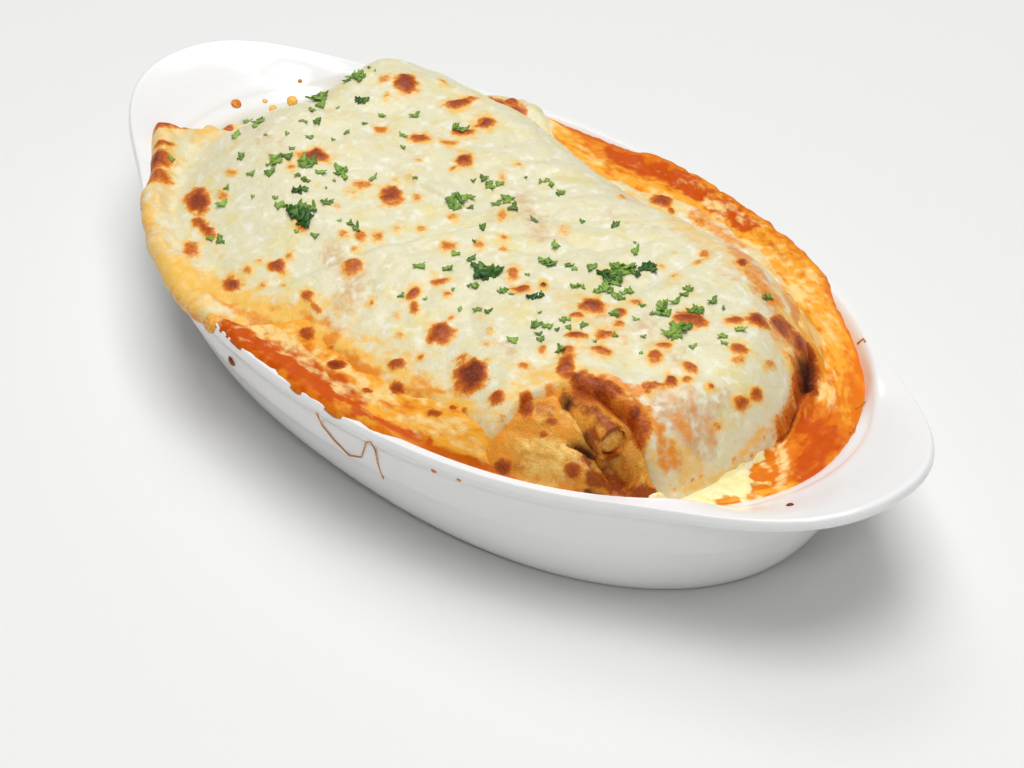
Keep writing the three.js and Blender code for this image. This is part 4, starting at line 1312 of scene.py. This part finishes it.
open_tube = bare_line()
lines = [line for line in (hidden_line(*tube) for tube in hidden_tubes) if len(line) > FEWEST_INSIDE]
seeds = new_lines("tube_lines", lines + [open_tube], [TUBE_RADIUS] * (len(lines) + 1))
tubes = grow("pasta_tubes", seeds, tube_tree, Wall=TUBE_WALL * MM, Sides=TUBE_SIDES, Material=tube_pasta)
x, y, _ = np.array([v.co for v in tubes.data.vertices]).T / MM
set_attribute(tubes.data, "brown", strokes_on(x, y, CRUST_AND_SHADE) * TUBE_BROWNED)
set_attribute(tubes.data, "sauced", 0 * x + TUBE_SAUCED)
# The same stains and painted shade as on the film below.
set_attribute(tubes.data, "stained", strokes_on(x, y, FILM_STAINS_AND_SHADE))
set_attribute(tubes.data, "burnt", strokes_on(x, y, CHAR_AND_SHADE_STROKES))
tubes.data.set_sharp_from_angle(angle=SHARP_ANGLE)
describe(tubes)

# %% [markdown]
# The dish: porcelain pressed or slip-cast in a mould, then glazed white. Its wall is the same all round,
# only bigger or smaller, so it is one section carried round the plan and joined into a skin. The section
# is rounded by cutting its corners twice, which is what the glaze does to a mould's edges.

# %% Dish
DISH_ANGLES = 480
FOOT_RECESS, FLOOR_TOP = 1.2, 5.2
FOOT = [(23.5, 1.2), (22.5, 0), (18.6, 0)]           # these are insets, and heights over the table
OUTER_WALL = [(17.4, 1), (15.4, 3), (12.8, 6.5), (9.2, 13), (6, 20), (4.4, 23)]
INNER_WALL = [(6, 34), (8.2, 27), (10.8, 18), (14.5, 11), (20, 7), (27, 5.5), (48, 5.2)]
LIP_UNDERSIDE = [(2.6, -6.2)]                        # and these are insets, and heights over the rim
LIP_EDGE = [(0.9, -3.8), (0, -2), (1, 0)]
LIP_INSIDE = [(3.4, -0.1), (4.6, -1.3)]
EAR_SHARES = (0.88, 0.65, 0.4, 0.18)                 # places across the flat of an ear
FILLET_HEIGHTS = (14, 34)


def dish_skin():
    """Points and faces of the whole dish."""
    angle = np.arange(DISH_ANGLES) * 360 / DISH_ANGLES
    bowl, outline = bowl_radius(angle), outline_radius(angle)
    cos, sin = np.cos(np.radians(angle)), np.sin(np.radians(angle))
    rings = [(bowl - inset, 0 * angle + z) for inset, z in FOOT + OUTER_WALL]
    rings += [(bowl - inset, rim_top(bowl * cos) + z) for inset, z in LIP_UNDERSIDE]
    rings += [(outline - inset, rim_top(outline * cos) + z) for inset, z in LIP_EDGE]
    flat = outline - bowl
    is_ear = ramp(flat, EAR_FLAT)
    for share in EAR_SHARES:
        radius = bowl - LIP_INSIDE[0][0] + (flat + LIP_INSIDE[0][0] - LIP_EDGE[-1][0]) * share
        rings.append((radius, rim_top(radius * cos) - ear_drop(angle, radius)))
    rings += [(bowl - inset, rim_top(bowl * cos) + z - EAR_DIP * is_ear) for inset, z in LIP_INSIDE]
    rings += [(bowl - inset - EAR_FILLET * is_ear * ramp(z, FILLET_HEIGHTS), 0 * angle + z)
              for inset, z in INNER_WALL]
    section = np.array([[radius * cos, radius * sin, z] for radius, z in rings])
    for _ in range(2):
        lower, upper = section[:-1], section[1:]
        cut = np.stack([0.75 * lower + 0.25 * upper, 0.25 * lower + 0.75 * upper], axis=1)
        section = np.concatenate([section[:1], cut.reshape(-1, 3, DISH_ANGLES), section[-1:]])
    points = section.transpose(0, 2, 1).reshape(-1, 3)
    rows, around = np.meshgrid(np.arange(len(section) - 1), np.arange(DISH_ANGLES), indexing="ij")
    steps = ((0, 0), (0, 1), (1, 1), (1, 0))
    polygons = np.stack([((rows + down) * DISH_ANGLES + (around + on) % DISH_ANGLES).ravel()
                         for down, on in steps], axis=1).tolist()
    last = len(points) - DISH_ANGLES
    under, over = len(points), len(points) + 1
    for k in range(DISH_ANGLES):
        after = (k + 1) % DISH_ANGLES
        polygons += [[under, after, k], [over, last + k, last + after]]
    return np.concatenate([points, [[0, 0, FOOT_RECESS], [0, 0, FLOOR_TOP]]]), polygons


dish = new_piece("gratin_dish", *dish_skin())
describe(dish)

# Glazed porcelain: white clay fired dense under a clear glass glaze, so it is bright and mirrors softly.
# The glaze pulls very slightly uneven as it melts, in waves about a finger wide.
GLAZE_WAVES, GLAZE_CLOUDS, GLAZE_RIPPLE = 18, 45, 0.15
glaze, tree, place = new_material("glazed_white_porcelain")
waves, clouds = (add_node(tree, "ShaderNodeTexNoise", inputs={
    "Vector": place, "Scale": 1 / (size * MM), "Detail": detail}).outputs["Fac"]
    for size, detail in ((GLAZE_WAVES, 1.0), (GLAZE_CLOUDS, 2.0)))
tone = add_node(tree, "ShaderNodeMix", MIX_COLOURS, {
    FACTOR: clouds, COLOUR_A: linear("#F4F3F2"), COLOUR_B: linear("#F0F0F1")}).outputs[COLOUR_OUT]
ripple = add_node(tree, "ShaderNodeBump", inputs={
    "Height": waves, "Distance": GLAZE_RIPPLE * MM}).outputs["Normal"]
set_surface(tree, {
    "Base Color": tone, "Roughness": 0.16, "IOR": 1.5, "Coat Weight": 0.15, "Coat Roughness": 0.05,
    "Normal": ripple})
dish.data.materials.append(glaze)

# %% [markdown]
# Chopped parsley: fragments of frilly leaf, scattered by hand over the top. A few leaf shapes are cut once
# as thin closed plates. Where each sprig lies is found by dropping a ray from the camera onto the finished
# cheese.

# %% Leaves, and where things land
LEAF_KINDS, LEAF_POINTS, LEAF_THICKNESS = 5, 22, 0.07


def landing(places, *pieces):
    """Which rays through places in the frame meet the pieces, and the points, in mm, and normals there."""
    trees = [BVHTree.FromPolygons([v.co for v in piece.data.vertices],
                                  [list(polygon.vertices) for polygon in piece.data.polygons])
             for piece in pieces]
    eye = Vector(camera_at * MM)
    landed = []
    for index, (px, py) in enumerate(places):
        ray = Vector(frame_ray(px, py))
        hits = [hit for hit in (t.ray_cast(eye, ray) for t in trees) if hit[0] is not None]
        if hits:
            point, normal, _, _ = min(hits, key=lambda hit: hit[3])
            landed.append((index, np.array(point) / MM, np.array(normal)))
    which, spots, normals = zip(*landed)
    return list(which), np.array(spots), np.array(normals)


def leaf_fragment(seed):
    """A thin frilly plate about 1 across, curled a little. The scatter gives it its real size."""
    random = np.random.default_rng(seed)
    turn = np.arange(LEAF_POINTS) * 2 * np.pi / LEAF_POINTS
    lobes = 0.30 * np.cos(3 * turn + random.uniform(0, 6)) + 0.16 * np.cos(7 * turn + random.uniform(0, 6))
    reach = 0.42 * (1 + lobes + random.uniform(-0.22, 0.22, LEAF_POINTS))
    x, y = reach * np.cos(turn), reach * np.sin(turn) * random.uniform(0.5, 0.85)
    curl = random.uniform(0.3, 0.9) * (x + random.uniform(-0.2, 0.2)) ** 2
    top = np.stack([x, y, curl + random.uniform(-0.05, 0.05, LEAF_POINTS) + LEAF_THICKNESS], axis=1)
    points = np.concatenate([top, top - [0, 0, LEAF_THICKNESS], [[0, 0, LEAF_THICKNESS * 1.6], [0, 0, 0]]])
    above, below = 2 * LEAF_POINTS, 2 * LEAF_POINTS + 1
    polygons = []
    for k in range(LEAF_POINTS):
        after = (k + 1) % LEAF_POINTS
        polygons += [[k, after, above], [after + LEAF_POINTS, k + LEAF_POINTS, below],
                     [after, k, k + LEAF_POINTS, after + LEAF_POINTS]]
    return points / MM, polygons


leaves = [new_piece(f"leaf_{kind}", *leaf_fragment(kind + 1)) for kind in range(LEAF_KINDS)]
print(len(leaves), "kinds of leaf")

# %% [markdown]
# Geometry Nodes drop the leaves on the cheese, each standing on the surface's normal with a random turn.
# Drops of browned cheese are scattered by the same tree.

# %% Tree that scatters
def scatter_tree(name, shapes):
    """Drops one of several shapes on each point, standing on its normal, with a random turn."""
    tree, given = new_tree(name, Size="Float", Tilt="Float", Seed="Int")
    each = [add_node(tree, "GeometryNodeObjectInfo", inputs={
        "Object": shape, "As Instance": True}).outputs["Geometry"] for shape in shapes]
    kinds = add_node(tree, "GeometryNodeJoinGeometry", inputs={0: each}).outputs[0]
    normal, width = (add_node(tree, "GeometryNodeInputNamedAttribute", {"data_type": values}, {
        "Name": label}).outputs[0] for label, values in (("facing", "FLOAT_VECTOR"), ("width", "FLOAT")))
    upright = add_node(tree, "FunctionNodeAlignRotationToVector", {"axis": "Z"}, {
        "Vector": normal}).outputs[0]
    most = add_node(tree, "ShaderNodeCombineXYZ", inputs={
        "X": given["Tilt"], "Y": given["Tilt"], "Z": math.pi}).outputs[0]
    least = add_node(tree, "ShaderNodeVectorMath", {"operation": "SCALE"}, {
        0: most, "Scale": -1.0}).outputs[0]
    turn = add_node(tree, "FunctionNodeRandomValue", {"data_type": "FLOAT_VECTOR"}, {
        0: least, 1: most, "Seed": given["Seed"]}).outputs[0]
    by = add_node(tree, "FunctionNodeEulerToRotation", inputs={0: turn}).outputs[0]
    turned = add_node(tree, "FunctionNodeRotateRotation", {"rotation_space": "LOCAL"}, {
        0: upright, 1: by}).outputs[0]
    kind = add_node(tree, "FunctionNodeRandomValue", {"data_type": "INT"}, {
        4: 0, 5: len(shapes) - 1, "Seed": given["Seed"]}).outputs[2]
    size = add_node(tree, "ShaderNodeMath", {"operation": "MULTIPLY"}, {
        0: width, 1: given["Size"]}).outputs[0]
    dropped = add_node(tree, "GeometryNodeInstanceOnPoints", inputs={
        "Points": given["Geometry"], "Instance": kinds, "Pick Instance": True, "Instance Index": kind,
        "Rotation": turned, "Scale": size})
    close_tree(tree, dropped.outputs[0], given["Material"])
    return tree


def new_points(name, spots, normals, widths, **others):
    """A mesh of loose points with a normal, a width in mm, and any other number each."""
    return new_mesh(name, spots, [], [], {"facing": normals, "width": np.asarray(widths) * MM, **others})


leaf_tree = scatter_tree("scatter_leaves", leaves)
print("leaf tree has", len(leaf_tree.nodes), "nodes")

# %% [markdown]
# Where the parsley fell, by place in the frame and width there. A wide sprig is several fragments that
# overlap.

# %% Parsley
SPRIGS = [
    (360, 78, 20), (348, 81, 8), (321, 100, 26), (312, 111, 8), (363, 101, 14), (313, 123, 13),
    (258, 123, 18), (301, 121, 4), (236, 137, 10), (287, 134, 6), (266, 135, 4), (310, 138, 6),
    (347, 133, 7), (333, 140, 4), (364, 124, 5), (381, 117, 5), (338, 108, 4), (292, 149, 7),
    (278, 159, 20), (243, 158, 12), (307, 163, 22), (321, 173, 9), (268, 165, 5), (270, 173, 9),
    (252, 174, 10), (171, 159, 7), (343, 173, 18), (373, 179, 10), (304, 181, 12), (297, 191, 16),
    (334, 181, 4), (326, 188, 3), (228, 188, 9), (223, 204, 9), (276, 198, 6), (253, 197, 4),
    (283, 206, 14), (302, 213, 30), (327, 204, 13), (350, 224, 8), (356, 229, 9), (315, 236, 8),
    (297, 232, 5), (340, 221, 4), (211, 239, 7), (221, 241, 9), (375, 71, 4), (369, 68, 4), (415, 116, 8),
    (382, 116, 6), (453, 131, 16), (403, 136, 8), (403, 148, 6), (416, 178, 5), (484, 179, 10),
    (493, 186, 15), (473, 181, 5), (456, 203, 22), (470, 198, 10), (471, 208, 7), (513, 203, 20),
    (547, 183, 12), (562, 194, 12), (534, 221, 8), (582, 222, 6), (615, 226, 8), (483, 228, 8),
    (475, 242, 5), (455, 254, 8), (420, 267, 9), (449, 269, 10), (526, 178, 3), (555, 246, 9),
    (550, 264, 18), (571, 269, 12), (612, 269, 26), (635, 252, 9), (490, 272, 28), (471, 260, 8),
    (474, 285, 13), (503, 293, 12), (532, 296, 16), (528, 275, 5), (453, 290, 4), (402, 296, 7),
    (426, 299, 5), (460, 310, 6), (478, 310, 7), (488, 312, 8), (579, 287, 12), (596, 292, 12),
    (609, 288, 18), (617, 298, 12), (630, 292, 9), (617, 275, 24), (634, 274, 16), (643, 269, 22),
    (623, 273, 12), (537, 327, 14), (541, 338, 12), (549, 327, 8), (565, 321, 11), (569, 328, 7),
    (557, 330, 5), (583, 326, 8), (513, 341, 8), (561, 350, 9), (615, 336, 5), (595, 342, 6),
    (540, 313, 4), (635, 243, 4), (627, 292, 12), (687, 291, 14), (766, 299, 12), (713, 302, 10),
    (691, 312, 16), (666, 308, 20), (642, 306, 8), (655, 316, 14), (670, 334, 24), (723, 308, 5),
    (741, 330, 9), (722, 337, 9), (725, 344, 6), (693, 347, 7), (644, 337, 5), (615, 314, 8),
    (636, 320, 5), (616, 336, 4), (641, 353, 4)]
PIXEL_ON_FOOD = 0.275                     # mm
DARK_SPRIGS = [
    (302, 213), (297, 191), (490, 272), (643, 269), (634, 274), (617, 275), (361, 101), (532, 296)]
WIDE_SPRIG, FRAGMENT_SHARE, PARSLEY_SEED = 11, 0.5, 7
FRAGMENT_EVERY, SPREAD, SPREAD_SHAPE, PALER_SPRIG_TONE = 6, 0.28, [1, 0.5], 0.35
LEAF_LIFT, LEAF_SIZE, LEAF_TILT, LEAF_SEED = 0.15, 1.15, 0.3, 3
VEIN_SIZE, VEIN_HEIGHT = 0.8, 0.1


def sprig_fragments():
    """Places in the frame, widths and tones of all the fragments."""
    random = np.random.default_rng(PARSLEY_SEED)
    fragments = []
    for px, py, width in SPRIGS:
        count = 1 if width < WIDE_SPRIG else 2 + int(width / FRAGMENT_EVERY)
        spread, share = (0, 1.0) if count == 1 else (width * SPREAD, FRAGMENT_SHARE)
        shade = 0.0 if any(math.hypot(px - a, py - b) < 4 for a, b in DARK_SPRIGS) else PALER_SPRIG_TONE
        for _ in range(count):
            offset = random.normal(0, 1, 2) * spread * SPREAD_SHAPE
            fragments.append((px + offset[0], py + offset[1], width * share * random.uniform(0.85, 1.25),
                              shade + random.uniform(-0.2, 0.35)))
    return np.array(fragments)


# Parsley: a fresh green leaf, darker on the sprigs listed as dark, with a waxy skin and raised veins.
parsley_green, tree, place = new_material("chopped_parsley")
tone = add_node(tree, "ShaderNodeAttribute", {"attribute_name": "tone"}).outputs["Fac"]
veins = add_node(tree, "ShaderNodeTexNoise", inputs={
    "Vector": place, "Scale": 1 / (VEIN_SIZE * MM)}).outputs["Fac"]
shaded = add_node(tree, "ShaderNodeMath", MULTIPLY_ADD, {0: veins, 1: 0.5, 2: tone}).outputs[0]
green = add_node(tree, "ShaderNodeValToRGB", inputs={"Fac": shaded})
for stop, position, tint in zip(green.color_ramp.elements, (0.2, 1.1 / 1.2), ("#2C5A18", "#92B84A")):
    stop.position, stop.color = position, linear(tint)
raised = add_node(tree, "ShaderNodeBump", inputs={
    "Height": veins, "Distance": VEIN_HEIGHT * MM}).outputs["Normal"]
set_surface(tree, {
    "Base Color": green.outputs["Color"], "Roughness": 0.45, "Subsurface Weight": 0.05,
    "Subsurface Radius": (0.3, 1.0, 0.2), "Subsurface Scale": 0.5 * MM, "Normal": raised})

fragments = sprig_fragments()
which, spots, normals = landing(fragments[:, :2], cheese, sauce)
widths, tones = fragments[which, 2:].T
seeds = new_points("parsley_points", spots + normals * LEAF_LIFT, normals, widths * PIXEL_ON_FOOD,
                   tone=tones)
parsley = grow("parsley", seeds, leaf_tree, Size=LEAF_SIZE, Tilt=LEAF_TILT, Seed=LEAF_SEED,
               Material=parsley_green)
describe(parsley)
for leaf in leaves:
    bpy.data.objects.remove(leaf)

# %% [markdown]
# What ran or flew off while it baked: browned drops of cheese on the left ear and the rim, specks on the
# right ear, one thread of sauce down the near wall, and thin threads of cheese on the rim. The drops are
# one low dome each, scattered like the leaves. One more is the sauce that boiled up inside the open tube.

# %% Drops and threads
# Each drop is a place in the frame, its width there, and how brown it is.
DROPS = [
    (236, 104, 12, .42), (265, 101, 6, .15), (292, 101, 12, .22), (273, 109, 9, .1), (300, 81, 5, .45),
    (210, 325, 17, .3), (232, 361, 11, .9), (434, 471, 6, .45), (459, 480, 5, .45), (744, 501, 6, 1.),
    (790, 505, 7, 1.)]
THREADS = [
    [(317, 412), (323, 425), (335, 440), (350, 455), (362, 457), (365, 447), (366, 442), (371, 441),
     (376, 450), (378, 462), (384, 478)],
    [(858, 344), (864, 339), (866, 342)], [(856, 409), (862, 405), (866, 402)], [(850, 433), (856, 428)]]
DOME_SIDES, DOME_RINGS, DOME_TOP = 12, [(0.5, 0.0), (0.46, 0.09), (0.3, 0.2)], 0.24
DROP_TILT, DROP_SEED = 0.1, 5
PLUG_DEPTH, PLUG_WIDER, PLUG_BROWN = 1.8, 0.3, 0.3
THREAD_RADIUS, THREAD_WALL, THREAD_SIDES, THREAD_LIFT, THREAD_STAIN = 0.2, 0.12, 8, 0.25, 0.45


def dome():
    """Points and faces of a low dome 1 across."""
    turn = np.arange(DOME_SIDES) * 2 * np.pi / DOME_SIDES
    points = [[r * math.cos(t), r * math.sin(t), z] for r, z in DOME_RINGS for t in turn]
    top, under = len(points), len(points) + 1
    polygons = []
    for k in range(DOME_SIDES):
        after = (k + 1) % DOME_SIDES
        corners = [k, after, after + DOME_SIDES, k + DOME_SIDES]
        polygons += [corners, [after, k, under], [corner + DOME_SIDES for corner in corners],
                     [k + 2 * DOME_SIDES, after + 2 * DOME_SIDES, top]]
    return np.array(points + [[0, 0, DOME_TOP], [0, 0, 0]]) / MM, polygons


which, spots, normals = landing([drop[:2] for drop in DROPS], dish, sauce, cheese)
axis = open_tube[-1] - open_tube[-2]
axis /= np.linalg.norm(axis)
widths = [DROPS[k][2] * PIXEL_ON_FOOD for k in which] + [2 * (TUBE_RADIUS - TUBE_WALL) + PLUG_WIDER]
browns = [DROPS[k][3] for k in which] + [PLUG_BROWN]
seeds = new_points("drop_points", [*spots, open_tube[-1] - axis * PLUG_DEPTH], [*normals, axis], widths,
                   brown=browns, gold=np.ones(len(browns)))
one_dome = new_piece("dome", *dome())
drops = grow("cheese_drops", seeds, scatter_tree("scatter_drops", [one_dome]), Size=1.0, Tilt=DROP_TILT,
             Seed=DROP_SEED, Material=melted_cheese)
bpy.data.objects.remove(one_dome)
describe(drops)

landed = [landing(thread, dish, sauce) for thread in THREADS]
seeds = new_lines("thread_lines", [spots + normals * THREAD_LIFT for _, spots, normals in landed],
                  [THREAD_RADIUS] * len(THREADS))
threads = grow("sauce_threads", seeds, tube_tree, Wall=THREAD_WALL * MM, Sides=THREAD_SIDES,
               Material=tube_pasta)
set_attribute(threads.data, "stained", np.full(len(threads.data.vertices), THREAD_STAIN))
describe(threads)

# %% [markdown]
# The room: a plain pale floor, a broad soft light from above and behind the left end, as from a window,
# and a little light from the camera's side that gives the cheese its glints.

# %% Floor and light
FLOOR_HALF = 4                            # metres, like everything about the lights
LIGHTS = [                                # name, from where, size, watts
    ("window", (-0.7, 0.45, 1.5), 0.8, 7.0),
    ("overhead", (0.18, -0.08, 1.75), 1.0, 19.0),
    ("glint", (0.75, -0.55, 0.95), 0.16, 1.6)]
ROOM_STRENGTH = 0.25

# White paper, matt, under the dish.
paper = bpy.data.materials.new("white_paper")
paper.use_nodes = True
paper.node_tree.nodes["Principled BSDF"].inputs["Base Color"].default_value = linear("#EAEAE8")
paper.node_tree.nodes["Principled BSDF"].inputs["Roughness"].default_value = 0.7
floor_mesh = bpy.data.meshes.new("floor")
corners = [(FLOOR_HALF * a, FLOOR_HALF * b, 0) for a, b in ((-1, -1), (1, -1), (1, 1), (-1, 1))]
floor_mesh.from_pydata(corners, [], [(0, 1, 2, 3)])
floor_mesh.materials.append(paper)
floor = add_object("floor", floor_mesh)

for name, position, size, watts in LIGHTS:
    lamp = bpy.data.lights.new(name, "AREA")
    lamp.size, lamp.energy = size, watts
    light = add_object(name, lamp)
    light.location = position
    light.rotation_euler = (-Vector(position)).to_track_quat("-Z", "Y").to_euler()
world = bpy.data.worlds.new("room")
world.use_nodes = True
world.node_tree.nodes["Background"].inputs["Color"].default_value = linear("#FFFFFF")
world.node_tree.nodes["Background"].inputs["Strength"].default_value = ROOM_STRENGTH
bpy.context.scene.world = world
bpy.context.scene.view_settings.view_transform = "Standard"
print(len(LIGHTS), "lights")

# %% [markdown]
# Each piece rides on the object's one body and stands for the CAD node it was made over, which is hidden.
# The table also lists a material name for each piece, which nothing here uses.

# %% Hand over
STANDS_FOR = [
    (dish, "dish", "glazed_porcelain"), (sauce, "sauce", "tomato_sauce"), (core, "pasta", "tube_pasta"),
    (film, "pasta", "tube_pasta"), (tubes, "pasta", "tube_pasta"), (cheese, "cheese", "melted_cheese"),
    (pool, "cheese_pool", "melted_cheese"), (drops, None, None), (threads, None, None),
    (parsley, None, None)]
for piece, node, material_slot in STANDS_FOR:
    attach(piece, "root")
    if node:
        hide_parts(node)
print(len(STANDS_FOR), "pieces handed over")
